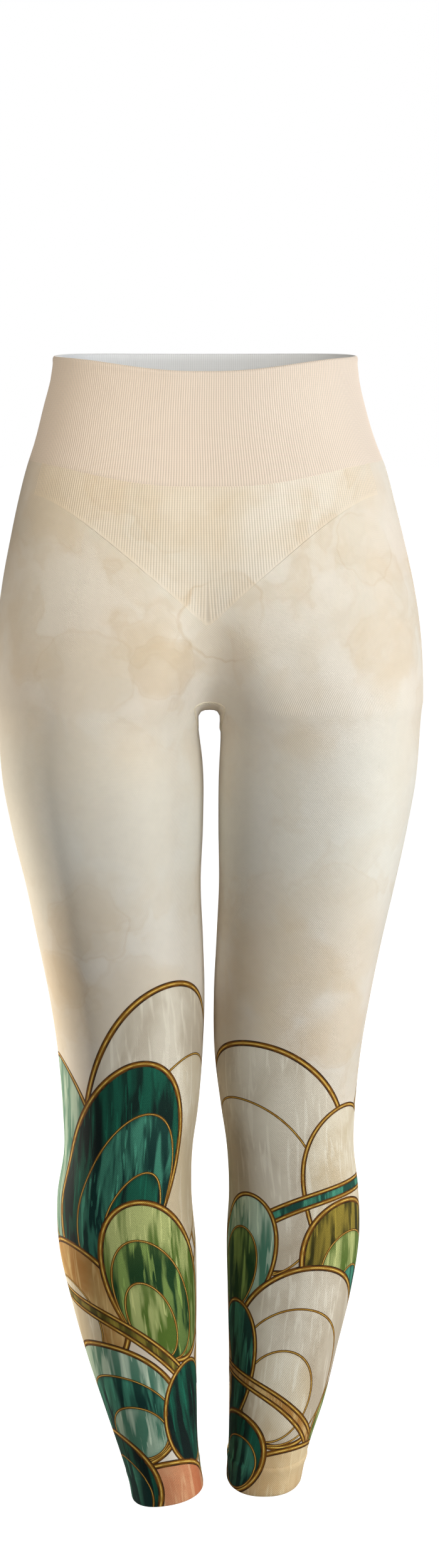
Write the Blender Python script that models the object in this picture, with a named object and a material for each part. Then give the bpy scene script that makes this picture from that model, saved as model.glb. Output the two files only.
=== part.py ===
"""Seamless high-waisted leggings, filled out to the hollow form they take when worn.

One skin is laid out for the whole garment, from two short tables of sections. Each piece is then cut from
that skin: its seam edges are drawn back by half the seam gap, and it gets the thickness of its own cloth,
inwards. The hips and the two legs are one run of knit, kept as three pieces so that each is a simple tube.
Sizes are in millimetres until the meshes are made. +X is the wearer's left, -Y is the front, and the origin
is the middle of the waist opening, level with the rim at the back.
"""

from collections import namedtuple

import bmesh
import bpy
import numpy as np
from mathutils import Vector

MM = 0.001
LEFT, RIGHT = 1, -1

# Cloth and seams
BAND_CLOTH = 2.2  # the waistband is rib knit, folded double
YOKE_CLOTH = 1.6
BODY_CLOTH = 1.2
GUSSET_CLOTH = 1.6
CUFF_CLOTH = 1.8  # the hem is turned up inside
SEAM_GAP = 0.36

# Heights along the seams
RIM_DIP = 8.5  # how far the rim falls from the sides to the front
BAND_SEAM = -88.0
BAND_SEAM_DIP = 14.0
DIP_POWER = 3  # more keeps both dips nearer the middle of the front
YOKE_SHOULDER = -112.0  # where the yoke's short upright ends stop
YOKE_TIP = -217.0
YOKE_BOW = 1.45  # 1 gives the yoke's V straight edges, and more bows them upwards
CUFF_HEIGHT = 27.0

# The gusset, under the crotch
GUSSET_HALF_WIDTH = 13.0  # at its front and back ends
GUSSET_END = -287.0
GUSSET_END_ARCH = 5.0  # how far the corners of its ends hang below the middle
GUSSET_LOWEST = -300.2
GUSSET_EDGE_LOWEST = -318.0  # its long edges wrap down on to the inner thighs
GUSSET_FLATNESS = 4.0  # 2 gives its arch an elliptical form, and more a flatter top
GUSSET_WRAP = 1.5  # more brings its long edges over to the inner thighs nearer its ends
GUSSET_SAG = 0.8  # less lets its middle line fall nearer its ends
GUSSET_END_FADE = 4  # more takes up what its ends' rows differ by nearer the ends

# Where the hips' one section has become the legs' two
LEGS_START = -292.0
LEGS_APART = -325.0

ROUNDNESS = 2.25  # 2 gives ellipses
VALLEY_POWER = 3.0
SIDE_LINE = 0.4  # how far from mid-depth the sides sit towards the seat
CORNER = 0.93  # where a leg's inner arc starts, as a share of its half width

# The front leg and the back leg of a slight stride, and how their hems tilt
STRIDE = {LEFT: 18.0, RIGHT: -10.0}
STRIDE_START, STRIDE_FULL = -305.0, -995.0
HEM = {LEFT: -992.5, RIGHT: -995.0}
HEM_TILT_OUT = {LEFT: 0.0, RIGHT: -5.0}
HEM_TILT_FRONT = {LEFT: -4.5, RIGHT: 0.0}
TILT_START = -850.0

# middle and half: the section's middle and half width along X. front and back: its reach along Y.
# crown: how far from the middle the front and seat stand out most. valley: their depth at the middle, as a
# share of the most. soften: the radius that rounds the valley's floor.
Hip = namedtuple("Hip", "height middle half front back crown valley soften")
HIP_SECTIONS = (
    Hip(0, -1.2, 129.0, -91.5, 91.0, 3, 1.00, 60),
    Hip(-11, -1.4, 129.3, -92.0, 91.5, 4, 1.00, 60),
    Hip(-42, -2.0, 136.2, -95.0, 94.5, 6, 1.00, 60),
    Hip(-74, -1.2, 145.4, -100.0, 99.5, 8, 1.00, 60),
    Hip(-90, -0.6, 151.4, -103.0, 103.0, 10, 1.00, 60),
    Hip(-122, -0.4, 160.1, -106.0, 111.5, 14, 1.00, 56),
    Hip(-154, 0.2, 167.7, -107.5, 120.0, 20, 1.00, 50),
    Hip(-187, 0.8, 174.8, -107.5, 126.0, 30, 0.99, 44),
    Hip(-219, 1.4, 179.8, -106.0, 128.0, 44, 0.94, 36),
    Hip(-251, 2.1, 182.3, -103.5, 125.0, 62, 0.82, 25),
    Hip(-268, 2.3, 182.8, -102.0, 121.0, 73, 0.71, 17),
    Hip(-284, 2.5, 182.9, -100.5, 117.0, 82, 0.56, 11),
    Hip(-300, 2.6, 182.6, -99.5, 112.0, 90, 0.38, 8),
    Hip(-325, 2.7, 181.5, -98.0, 106.0, 95, 0.20, 8),
)

Leg = namedtuple("Leg", "height right_outer right_inner left_inner left_outer front back")
LEG_SECTIONS = (
    Leg(-284, -180.6, -9.4, 10.8, 185.3, -100.5, 117.0),
    Leg(-316, -179.7, -6.4, 11.9, 183.8, -98.5, 108.0),
    Leg(-350, -177.0, -3.3, 10.3, 180.8, -97.0, 101.0),
    Leg(-400, -168.0, -3.4, 9.8, 172.4, -94.0, 90.5),
    Leg(-450, -156.0, -5.4, 10.3, 162.0, -90.0, 82.5),
    Leg(-500, -145.8, -3.4, 8.1, 151.0, -85.5, 75.5),
    Leg(-550, -136.0, -2.2, 5.8, 141.4, -80.0, 70.0),
    Leg(-600, -129.0, -4.0, 6.4, 133.6, -74.0, 64.5),
    Leg(-650, -125.4, -8.2, 12.2, 129.2, -68.0, 60.5),
    Leg(-682, -124.5, -12.6, 16.8, 128.2, -63.5, 59.0),
    Leg(-728, -131.0, -13.6, 19.1, 133.0, -57.5, 62.5),
    Leg(-770, -130.0, -10.0, 17.2, 134.0, -54.0, 67.0),
    Leg(-820, -119.5, -9.3, 18.0, 127.0, -50.5, 66.5),
    Leg(-870, -105.8, -9.7, 19.0, 115.6, -46.5, 59.5),
    Leg(-920, -88.6, -9.2, 19.4, 103.4, -43.5, 50.5),
    Leg(-955, -76.6, -8.4, 19.0, 92.0, -42.0, 45.5),
    Leg(-980, -69.2, -5.8, 18.1, 85.4, -42.0, 43.5),
    Leg(-1000, -65.6, -2.8, 18.1, 80.8, -42.5, 43.5),
)

# The layout: how many steps the skin takes along each stretch
ARC_STEPS = 22  # round one half of the hips, and round the outside of one leg
YOKE_STEPS = 8  # of those, the ones that the yoke reaches over
BRIDGE_STEPS = 4  # across the gusset's width
INNER_STEPS = 6  # along the gusset, and round the inside of one leg
BAND_ROWS = 4
YOKE_ROWS = 4
HIP_ROWS = 9
LEG_HEIGHTS = (-312, -335, -365, -400, -440, -480, -520, -560, -600,
               -635, -665, -695, -730, -770, -810, -850, -890)
ANKLE_ROWS = 3
CUFF_ROWS = 2
THIGH_SETTLING = 0.5  # how far the leg's first inner arc has gone from the gusset's edge to the next ring
OUTLINE_STEPS = 240  # along a section's outline, before it is spaced out evenly

Piece = namedtuple("Piece", "name cloth colour roughness")
PIECES = (
    Piece("waistband", BAND_CLOTH, (0.76, 0.65, 0.54), 0.85),
    Piece("front_yoke", YOKE_CLOTH, (0.76, 0.67, 0.51), 0.85),
    Piece("hips", BODY_CLOTH, (0.80, 0.72, 0.58), 0.7),
    Piece("leg_left", BODY_CLOTH, (0.80, 0.72, 0.58), 0.7),
    Piece("leg_right", BODY_CLOTH, (0.80, 0.72, 0.58), 0.7),
    Piece("gusset", GUSSET_CLOTH, (0.72, 0.67, 0.58), 0.8),
    Piece("cuff_left", CUFF_CLOTH, (0.66, 0.47, 0.26), 0.75),
    Piece("cuff_right", CUFF_CLOTH, (0.10, 0.22, 0.17), 0.75),
)
WAISTBAND, YOKE, HIPS, LEG_LEFT, LEG_RIGHT, GUSSET, CUFF_LEFT, CUFF_RIGHT = range(len(PIECES))


def ease(share):
    """0 to 1, slow at both ends."""
    share = min(max(share, 0.0), 1.0)
    return share * share * (3 - 2 * share)


def mix(a, b, share):
    return a + (b - a) * share


def smooth(table):
    """The table's columns as smooth functions of height: the function returned gives a row at a height."""
    rows = np.array(table, float)[::-1]
    heights = rows[:, 0]
    slopes = np.gradient(rows, heights, axis=0)

    def row_at(height):
        height = min(max(height, heights[0]), heights[-1])
        i = min(int(np.searchsorted(heights, height, side="right")) - 1, len(heights) - 2)
        step = heights[i + 1] - heights[i]
        t = (height - heights[i]) / step
        start, end = rows[i], rows[i + 1]
        leave, arrive = slopes[i] * step, slopes[i + 1] * step
        squared = 3 * (end - start) - 2 * leave - arrive
        cubed = 2 * (start - end) + leave + arrive
        return type(table[0])(*(start + t * (leave + t * (squared + t * cubed))))

    return row_at


hip_at = smooth(HIP_SECTIONS)
leg_at = smooth(LEG_SECTIONS)


def leg_edges(side, height):
    """A leg's inner and outer edge, along X."""
    row = leg_at(height)
    return (row.left_inner, row.left_outer) if side == LEFT else (row.right_inner, row.right_outer)


def oval(share):
    """The depth of an oval, as a share of its most, at a share of its half width."""
    return np.maximum(1 - np.abs(share) ** ROUNDNESS, 0) ** (1 / ROUNDNESS)


def depths(row):
    """A section's side line, its reach to the front of it, and its reach to the back."""
    side = SIDE_LINE * (row.front + row.back)
    return side, side - row.front, row.back - side


def hip_depth(across, row):
    """How deep the hips' section is, as a share, at distances across from its middle."""
    outer = oval(np.maximum(across - row.crown, 0) / (row.half - row.crown))
    softened = across - row.soften * (1 - np.exp(-across / row.soften))
    whole = row.crown - row.soften * (1 - np.exp(-row.crown / row.soften))
    inner = 1 - (1 - np.clip(softened / whole, 0, 1)) ** VALLEY_POWER
    return np.where(across > row.crown, outer, row.valley + (1 - row.valley) * inner)


def evenly(outline, steps):
    """Points at equal distances along an outline, from its first point to its last."""
    length = np.concatenate([[0], np.cumsum(np.linalg.norm(np.diff(outline, axis=0), axis=1))])
    wanted = np.linspace(0, length[-1], steps + 1)
    return np.stack([np.interp(wanted, length, outline[:, k]) for k in (0, 1)], axis=1)


def bridge_places():
    """Distances across the gusset's ends, closer together where the arch turns down."""
    return GUSSET_HALF_WIDTH * np.sin(np.linspace(-1, 1, BRIDGE_STEPS + 1) * np.pi / 2)


def hip_arc(height):
    """The left half of the hips' section, about its middle, from the front bridge to the back one."""
    row = hip_at(height)
    side, front, back = depths(row)
    start = np.arcsin(GUSSET_HALF_WIDTH / row.half)
    turn = np.linspace(start, np.pi - start, OUTLINE_STEPS)
    across = row.half * np.sin(turn)
    share = hip_depth(across, row)
    y = np.where(turn < np.pi / 2, side - front * share, side + back * share)
    return evenly(np.stack([across, y], axis=1), ARC_STEPS)


def hip_section(height):
    """The whole section: front bridge from right to left, left arc, back bridge, right arc."""
    row = hip_at(height)
    side, front, back = depths(row)
    arc = hip_arc(height)
    across = bridge_places()[1:-1]
    share = hip_depth(np.abs(across), row)
    front_bridge = np.stack([across, side - front * share], axis=1)
    back_bridge = np.stack([-across, side + back * share], axis=1)
    section = np.concatenate([front_bridge, arc, back_bridge, arc[::-1] * (-1, 1)])
    return section + (row.middle, 0)


def hip_point(column, height):
    return np.array([*hip_section(height)[column], height])


def leg_section(side, height):
    """A leg's section: its outer arc from front corner to back corner, and its inner arc from back to front."""
    inner, outer = leg_edges(side, height)
    middle, half = (inner + outer) / 2, abs(outer - inner) / 2
    line, front, back = depths(leg_at(height))
    corner = np.arccos(CORNER ** (ROUNDNESS / 2))
    shift = STRIDE[side] * ease((STRIDE_START - height) / (STRIDE_START - STRIDE_FULL))

    def arc(start, end, steps):
        turn = np.linspace(start, end, OUTLINE_STEPS)
        out, ahead = -np.cos(turn), np.sin(turn)
        x = middle + side * half * np.sign(out) * np.abs(out) ** (2 / ROUNDNESS)
        y = line + np.where(ahead > 0, -front, back) * np.abs(ahead) ** (2 / ROUNDNESS) + shift
        return evenly(np.stack([x, y], axis=1), steps)

    return arc(corner, 2 * np.pi - corner, ARC_STEPS), arc(-corner, corner, INNER_STEPS)


def tilt(side, points, height):
    """The heights of one section's points: near the hem, the rings tilt as the hem does."""
    share = ease((TILT_START - height) / (TILT_START - HEM[side] - CUFF_HEIGHT))
    x, y = points[:, 0], points[:, 1]
    inner, outer = leg_edges(side, height)
    out = side * (x - (inner + outer) / 2) / (abs(outer - inner) / 2)
    ahead = -(y - y.mean()) / np.ptp(y) * 2
    return height + share * (HEM_TILT_OUT[side] * out + HEM_TILT_FRONT[side] * ahead)


def leg_ring(side, height):
    """A closed ring round a leg below the gusset, outer arc first. Near the top it keeps the hips' form."""
    outer, inner = leg_section(side, height)
    share = ease((LEGS_START - height) / (LEGS_START - LEGS_APART))
    hip = hip_arc(height) * (side, 1) + (hip_at(height).middle, 0)
    outer = mix(hip, outer, share)
    ring = np.concatenate([outer, inner[1:-1]])
    return np.column_stack([ring, tilt(side, ring, height)])


# Columns of the hips' section
FRONT_BRIDGE = range(BRIDGE_STEPS - 1)
LEFT_ARC = range(FRONT_BRIDGE.stop, FRONT_BRIDGE.stop + ARC_STEPS + 1)
BACK_BRIDGE = range(LEFT_ARC.stop, LEFT_ARC.stop + BRIDGE_STEPS - 1)
RIGHT_ARC = range(BACK_BRIDGE.stop, BACK_BRIDGE.stop + ARC_STEPS + 1)
COLUMNS = RIGHT_ARC.stop
YOKE_LEFT = LEFT_ARC[YOKE_STEPS]
YOKE_RIGHT = RIGHT_ARC[-1 - YOKE_STEPS]
YOKE_COLUMNS = [c % COLUMNS for c in range(YOKE_RIGHT, YOKE_LEFT + COLUMNS + 1)]
SIDE_COLUMNS = list(range(YOKE_LEFT, YOKE_RIGHT + 1))


def front_share(column, height):
    """1 at the middle of the front, and 0 at the sides and all over the back."""
    row = hip_at(height)
    side, front, _ = depths(row)
    return min(max((side - hip_section(height)[column][1]) / front, 0.0), 1.0)


def rim_height(column):
    return -RIM_DIP * front_share(column, 0) ** DIP_POWER


def band_seam_height(column):
    return BAND_SEAM - BAND_SEAM_DIP * front_share(column, BAND_SEAM) ** DIP_POWER


def yoke_edge_height(column):
    """The V under the yoke, and a level line round the sides and back, where it is no seam."""
    if column not in YOKE_COLUMNS:
        return YOKE_SHOULDER
    tip = hip_section(YOKE_TIP)
    end = abs(tip[YOKE_LEFT][0] - tip[YOKE_RIGHT][0]) / 2
    share = min(abs(tip[column][0] - hip_at(YOKE_TIP).middle) / end, 1.0)
    return mix(YOKE_SHOULDER, YOKE_TIP, (1 - share) ** YOKE_BOW)


def hip_end_height(column):
    """The last row of the hips: level, but for the arches at the gusset's ends."""
    if column in LEFT_ARC or column in RIGHT_ARC:
        return GUSSET_END - GUSSET_END_ARCH
    across = hip_section(GUSSET_END)[column][0] - hip_at(GUSSET_END).middle
    return GUSSET_END - GUSSET_END_ARCH * (1 - np.sqrt(1 - (across / GUSSET_HALF_WIDTH) ** 2))


def hip_rows(columns, top, bottom, steps):
    """Rows of points on the hips, spaced out between two lines that are each a function of the column."""
    shares = np.linspace(0, 1, steps + 1)
    return [[hip_point(c, mix(top(c), bottom(c), share)) for c in columns] for share in shares]


def gusset_edge(side, front, back):
    """The gusset's long edge: from its front corner down on to the inner thigh and up to its back corner."""
    inner, _ = leg_edges(side, GUSSET_LOWEST)
    points = []
    for share in np.linspace(0, 1, INNER_STEPS + 1):
        point = mix(front, back, share)
        swing = np.sin(np.pi * share)
        point[0] = mix(point[0], inner, 1 - (1 - swing) ** GUSSET_WRAP)
        point[2] += (GUSSET_EDGE_LOWEST - (GUSSET_END - GUSSET_END_ARCH)) * swing
        points.append(point)
    return points


def gusset_rows(edges, front_row, back_row):
    """Rows across the gusset from right to left, each an arch between its two long edges."""
    middle = BRIDGE_STEPS // 2
    shares = np.linspace(0, 1, INNER_STEPS + 1)
    rows = []
    for i, share in enumerate(shares):
        crest = mix(front_row[middle], back_row[middle], share)
        crest[2] += (GUSSET_LOWEST - GUSSET_END) * np.sin(np.pi * share) ** GUSSET_SAG
        row = []
        for across in np.linspace(-1, 1, BRIDGE_STEPS + 1):
            edge = edges[LEFT if across > 0 else RIGHT][i]
            lean = np.sin(abs(across) * np.pi / 2)
            rise = max(1 - lean**GUSSET_FLATNESS, 0) ** (1 / GUSSET_FLATNESS)
            row.append((mix(crest[0], edge[0], lean),
                        mix(crest[1], edge[1], lean**2),
                        mix(edge[2], crest[2], rise)))
        rows.append(np.array(row))
    started, ended = front_row - rows[0], back_row - rows[-1]
    return [row + (1 - share) ** GUSSET_END_FADE * started + share**GUSSET_END_FADE * ended
            for share, row in zip(shares, rows)]


def leg_rows(side, hip_end, edge):
    """A leg's rings down to the cuff's seam: the first is the hips' last row, closed by the gusset's edge."""
    outer = [hip_end[c] for c in (LEFT_ARC if side == LEFT else reversed(RIGHT_ARC))]
    first = outer + edge[::-1][1:-1]
    seam = HEM[side] + CUFF_HEIGHT
    heights = [*LEG_HEIGHTS, *np.linspace(LEG_HEIGHTS[-1], seam, ANKLE_ROWS + 1)[1:]]
    rings = [list(leg_ring(side, height)) for height in heights]
    for i in range(len(outer), len(first)):
        rings[0][i] = mix(first[i], rings[1][i], THIGH_SETTLING)
    return [first, *rings]


def lay(skin, rows, piece, closed=False):
    """Adds a patch of the skin: faces between each row of points and the next."""
    lines = [[skin.verts.new(Vector(point) * MM) for point in row] for row in rows]
    for upper, lower in zip(lines, lines[1:]):
        count = len(upper) if closed else len(upper) - 1
        for i in range(count):
            j = (i + 1) % len(upper)
            face = skin.faces.new((upper[i], lower[i], lower[j], upper[j]))
            face.material_index = piece


def lay_out_skin():
    """The whole garment as one thin skin. Each face's material index says which piece it belongs to."""
    skin = bmesh.new()
    ring = range(COLUMNS)
    lay(skin, hip_rows(ring, rim_height, band_seam_height, BAND_ROWS), WAISTBAND, closed=True)
    lay(skin, hip_rows(YOKE_COLUMNS, band_seam_height, yoke_edge_height, YOKE_ROWS), YOKE)
    lay(skin, hip_rows(SIDE_COLUMNS, band_seam_height, yoke_edge_height, YOKE_ROWS), HIPS)
    hips = hip_rows(ring, yoke_edge_height, hip_end_height, HIP_ROWS)
    lay(skin, hips, HIPS, closed=True)

    end = hips[-1]
    front_row = np.array([end[c] for c in (RIGHT_ARC[-1], *FRONT_BRIDGE, LEFT_ARC[0])])
    back_row = np.array([end[c] for c in (RIGHT_ARC[0], *reversed(BACK_BRIDGE), LEFT_ARC[-1])])
    edges = {RIGHT: gusset_edge(RIGHT, front_row[0], back_row[0]),
             LEFT: gusset_edge(LEFT, front_row[-1], back_row[-1])}
    lay(skin, gusset_rows(edges, front_row, back_row), GUSSET)

    for side, leg, cuff in ((LEFT, LEG_LEFT, CUFF_LEFT), (RIGHT, LEG_RIGHT, CUFF_RIGHT)):
        lay(skin, leg_rows(side, end, edges[side]), leg, closed=True)
        heights = np.linspace(HEM[side] + CUFF_HEIGHT, HEM[side], CUFF_ROWS + 1)
        lay(skin, [leg_ring(side, height) for height in heights], cuff, closed=True)

    bmesh.ops.remove_doubles(skin, verts=skin.verts, dist=0.01 * MM)
    bmesh.ops.recalc_face_normals(skin, faces=skin.faces)
    skin.faces.ensure_lookup_table()
    band = skin.faces[0]
    if band.normal.dot(band.calc_center_median()) < 0:
        bmesh.ops.reverse_faces(skin, faces=skin.faces)
    skin.normal_update()
    return skin


def drawn_back(vert, faces):
    """Where a piece's own copy of a vertex goes: off each seam that it lies on, by half the seam gap."""
    steps = []
    for edge in vert.link_edges:
        mine = [face for face in edge.link_faces if face in faces]
        if len(mine) == 1 and len(edge.link_faces) == 2:
            along = (edge.verts[1].co - edge.verts[0].co).normalized()
            step = mine[0].normal.cross(along).normalized()
            inside = mine[0].calc_center_median() - edge.verts[0].co
            steps.append(step if step.dot(inside) > 0 else -step)
    if not steps:
        return vert.co.copy()
    total = sum(steps, Vector())
    if len(steps) == 2:
        total /= 1 + steps[0].dot(steps[1])
    return vert.co + total * (SEAM_GAP / 2 * MM)


def cut_piece(skin, index):
    """One piece as a closed wall: its outside is the skin, and its inside follows the skin's own normals."""
    faces = {face for face in skin.faces if face.material_index == index}
    verts = {vert for face in faces for vert in face.verts}
    cloth = PIECES[index].cloth * MM
    wall = bmesh.new()
    outside, inside = {}, {}
    for vert in sorted(verts, key=lambda v: v.index):
        place = drawn_back(vert, faces)
        outside[vert] = wall.verts.new(place)
        inside[vert] = wall.verts.new(place - vert.normal * cloth)
    for face in sorted(faces, key=lambda f: f.index):
        wall.faces.new([outside[v] for v in face.verts])
        wall.faces.new([inside[v] for v in reversed(face.verts)])
        for loop in face.loops:
            if sum(other in faces for other in loop.edge.link_faces) == 1:
                a, b = loop.vert, loop.link_loop_next.vert
                wall.faces.new((outside[b], outside[a], inside[a], inside[b]))
    return wall


def material(piece):
    made = bpy.data.materials.new(piece.name)
    made.use_nodes = True
    shader = made.node_tree.nodes["Principled BSDF"]
    shader.inputs["Base Color"].default_value = (*piece.colour, 1)
    shader.inputs["Roughness"].default_value = piece.roughness
    return made


def make_piece(skin, index, waist):
    piece = PIECES[index]
    mesh = bpy.data.meshes.new(piece.name)
    wall = cut_piece(skin, index)
    wall.to_mesh(mesh)
    wall.free()
    mesh.materials.append(material(piece))
    mesh.shade_smooth()
    made = bpy.data.objects.new(piece.name, mesh)
    bpy.context.scene.collection.objects.link(made)
    made.parent = waist


def main():
    for old in list(bpy.data.objects):
        bpy.data.objects.remove(old)
    waist = bpy.data.objects.new("waist_opening", None)
    bpy.context.scene.collection.objects.link(waist)
    skin = lay_out_skin()
    skin.verts.index_update()
    skin.faces.index_update()
    for index in range(len(PIECES)):
        make_piece(skin, index, waist)
    skin.free()


main()
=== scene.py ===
# %% [markdown]
# # High-waisted seamless leggings
#
# These leggings are knitted round and round on a small-diameter machine. A wide ribbed waistband is folded
# double, a ribbed V sits under it at the front, and the plain knit runs from the hips into both legs without
# a side seam. Only the gusset under the crotch is sewn in. The garment is shown filled out, as when worn.
#
# Cloth this tight has no folds to drape, so nothing is simulated. Each piece is a sheet of knit laid over
# level sections of the figure, and the ribs, welts and creases are real relief on it.

from collections import namedtuple

import bmesh
import bpy
import numpy as np
from mathutils import Matrix, Vector


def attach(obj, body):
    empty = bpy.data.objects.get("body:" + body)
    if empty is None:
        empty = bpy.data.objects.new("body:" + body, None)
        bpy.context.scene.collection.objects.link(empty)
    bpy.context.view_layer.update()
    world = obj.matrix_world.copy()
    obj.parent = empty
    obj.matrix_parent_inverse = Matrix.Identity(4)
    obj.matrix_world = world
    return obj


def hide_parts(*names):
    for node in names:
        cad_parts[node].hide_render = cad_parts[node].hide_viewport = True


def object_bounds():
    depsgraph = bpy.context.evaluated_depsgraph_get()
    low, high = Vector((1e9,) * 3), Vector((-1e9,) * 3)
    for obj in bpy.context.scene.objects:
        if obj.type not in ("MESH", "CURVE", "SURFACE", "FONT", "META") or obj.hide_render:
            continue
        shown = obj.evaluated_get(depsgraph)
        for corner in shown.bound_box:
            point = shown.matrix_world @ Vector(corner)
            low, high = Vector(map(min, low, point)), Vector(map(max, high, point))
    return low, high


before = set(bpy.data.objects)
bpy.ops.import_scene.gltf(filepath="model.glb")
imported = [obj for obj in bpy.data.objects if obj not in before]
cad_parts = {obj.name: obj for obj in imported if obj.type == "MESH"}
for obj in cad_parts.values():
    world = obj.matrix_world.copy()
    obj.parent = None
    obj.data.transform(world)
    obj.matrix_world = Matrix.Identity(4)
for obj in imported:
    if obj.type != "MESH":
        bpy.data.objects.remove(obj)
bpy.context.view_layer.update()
print("nodes:", sorted(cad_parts))

# %% [markdown]
# ## The camera
#
# A product picture of leggings is taken from the front, three metres away with a long lens, so that the hips
# and ankles keep their proportions. The camera stands a little above the waist and looks slightly down.
# That is why the inside of the back of the waistband shows.

# %% Camera
CAMERA_PLACE = Vector((0.0108, -3.0, 0.103))
CAMERA_AIM = Vector((0.0108, 0.0, -0.3647))
LENS = 81  # millimetres, on a 36 mm sensor along the picture's long side


def add_object(name, data):
    """Puts a new object into the scene, made from a mesh, a lamp or a camera."""
    made = bpy.data.objects.new(name, data)
    bpy.context.scene.collection.objects.link(made)
    return made


def aim_at(item, place, aim):
    """Stands a camera or a lamp at a place and turns it towards its aim."""
    item.location = place
    item.rotation_euler = (Vector(aim) - Vector(place)).to_track_quat("-Z", "Y").to_euler()


camera = add_object("camera", bpy.data.cameras.new("camera"))
camera.data.lens = LENS
aim_at(camera, CAMERA_PLACE, CAMERA_AIM)
bpy.context.scene.camera = camera
print("camera to garment:", round((CAMERA_AIM - CAMERA_PLACE).length, 3), "m")

# %% [markdown]
# ## The sizes of the garment
#
# A pattern maker measures a figure at many heights. These are the same sections that the solids are made
# from, in millimetres, with the heights counted down from the waist. +X is the wearer's left and -Y is the
# front. The sheets here are laid over them with far smaller steps than the solids have.

# %% The hips' sections
MM = 0.001
LEFT, RIGHT = 1, -1

# crown: how far from the middle the front and seat stand out most. valley: their depth at the middle, as a
# share of the most. soften: the radius that rounds the valley's floor.
Hip = namedtuple("Hip", "height middle half front back crown valley soften")
HIP_SECTIONS = (
    Hip(0, -1.2, 129.0, -91.5, 91.0, 3, 1.00, 60),
    Hip(-11, -1.4, 129.3, -92.0, 91.5, 4, 1.00, 60),
    Hip(-42, -2.0, 136.2, -95.0, 94.5, 6, 1.00, 60),
    Hip(-74, -1.2, 145.4, -100.0, 99.5, 8, 1.00, 60),
    Hip(-90, -0.6, 151.4, -103.0, 103.0, 10, 1.00, 60),
    Hip(-122, -0.4, 160.1, -106.0, 111.5, 14, 1.00, 56),
    Hip(-154, 0.2, 167.7, -107.5, 120.0, 20, 1.00, 50),
    Hip(-187, 0.8, 174.8, -107.5, 126.0, 30, 0.99, 44),
    Hip(-219, 1.4, 179.8, -106.0, 128.0, 44, 0.94, 36),
    Hip(-251, 2.1, 182.3, -103.5, 125.0, 62, 0.82, 25),
    Hip(-268, 2.3, 182.8, -102.0, 121.0, 73, 0.71, 17),
    Hip(-284, 2.5, 182.9, -100.5, 117.0, 82, 0.56, 11),
    Hip(-300, 2.6, 182.6, -99.5, 112.0, 90, 0.38, 8),
    Hip(-325, 2.7, 181.5, -98.0, 106.0, 95, 0.20, 8),
)
print(len(HIP_SECTIONS), "hip sections, from", HIP_SECTIONS[0].height, "to", HIP_SECTIONS[-1].height, "mm")

# %% The legs' sections
Leg = namedtuple("Leg", "height right_outer right_inner left_inner left_outer front back")
LEG_SECTIONS = (
    Leg(-284, -180.6, -9.4, 10.8, 185.3, -100.5, 117.0),
    Leg(-316, -179.7, -6.4, 11.9, 183.8, -98.5, 108.0),
    Leg(-350, -177.0, -3.3, 10.3, 180.8, -97.0, 101.0),
    Leg(-400, -168.0, -3.4, 9.8, 172.4, -94.0, 90.5),
    Leg(-450, -156.0, -5.4, 10.3, 162.0, -90.0, 82.5),
    Leg(-500, -145.8, -3.4, 8.1, 151.0, -85.5, 75.5),
    Leg(-550, -136.0, -2.2, 5.8, 141.4, -80.0, 70.0),
    Leg(-600, -129.0, -4.0, 6.4, 133.6, -74.0, 64.5),
    Leg(-650, -125.4, -8.2, 12.2, 129.2, -68.0, 60.5),
    Leg(-682, -124.5, -12.6, 16.8, 128.2, -63.5, 59.0),
    Leg(-728, -131.0, -13.6, 19.1, 133.0, -57.5, 62.5),
    Leg(-770, -130.0, -10.0, 17.2, 134.0, -54.0, 67.0),
    Leg(-820, -119.5, -9.3, 18.0, 127.0, -50.5, 66.5),
    Leg(-870, -105.8, -9.7, 19.0, 115.6, -46.5, 59.5),
    Leg(-920, -88.6, -9.2, 19.4, 103.4, -43.5, 50.5),
    Leg(-955, -76.6, -8.4, 19.0, 92.0, -42.0, 45.5),
    Leg(-980, -69.2, -5.8, 18.1, 85.4, -42.0, 43.5),
    Leg(-1000, -65.6, -2.8, 18.1, 80.8, -42.5, 43.5),
)
FULLEST = LEG_SECTIONS[0].height  # the hips are widest where the legs' table begins
print(len(LEG_SECTIONS), "leg sections, from", FULLEST, "to", LEG_SECTIONS[-1].height, "mm")

# %% [markdown]
# ## From tables to smooth sections
#
# Between two rows of a table the figure runs on smoothly, so each column is read as a curve of height. A
# section is then an oval with a slightly square shoulder. At the crotch it has a valley between the thighs,
# front and back, which is where one tube of knit becomes two.

# %% Tables as smooth curves
def ease(share):
    """0 to 1, slow at both ends."""
    share = np.clip(share, 0, 1)
    return share * share * (3 - 2 * share)


def mix(a, b, share):
    return a + (b - a) * share


def smooth(table):
    """The table's columns as smooth functions of height: the function returned gives a row at a height."""
    rows = np.array(table, float)[::-1]
    heights = rows[:, 0]
    slopes = np.gradient(rows, heights, axis=0)

    def row_at(height):
        height = min(max(height, heights[0]), heights[-1])
        i = min(int(np.searchsorted(heights, height, side="right")) - 1, len(heights) - 2)
        step = heights[i + 1] - heights[i]
        t = (height - heights[i]) / step
        start, end = rows[i], rows[i + 1]
        leave, arrive = slopes[i] * step, slopes[i + 1] * step
        squared = 3 * (end - start) - 2 * leave - arrive
        cubed = 2 * (start - end) + leave + arrive
        return type(table[0])(*(start + t * (leave + t * (squared + t * cubed))))

    return row_at


hip_at = smooth(HIP_SECTIONS)
leg_at = smooth(LEG_SECTIONS)


def leg_edges(side, height):
    """A leg's inner and outer edge, along X."""
    row = leg_at(height)
    return (row.left_inner, row.left_outer) if side == LEFT else (row.right_inner, row.right_outer)


print("half way down the left thigh:", [round(edge, 1) for edge in leg_edges(LEFT, -450)], "mm along X")

# %% Ovals, with a valley where the thighs part
ROUNDNESS = 2.25  # 2 would make every section an ellipse
VALLEY_POWER = 3.0
SIDE_LINE = 0.4  # a section is widest at this share of the sum of its front and back


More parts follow.
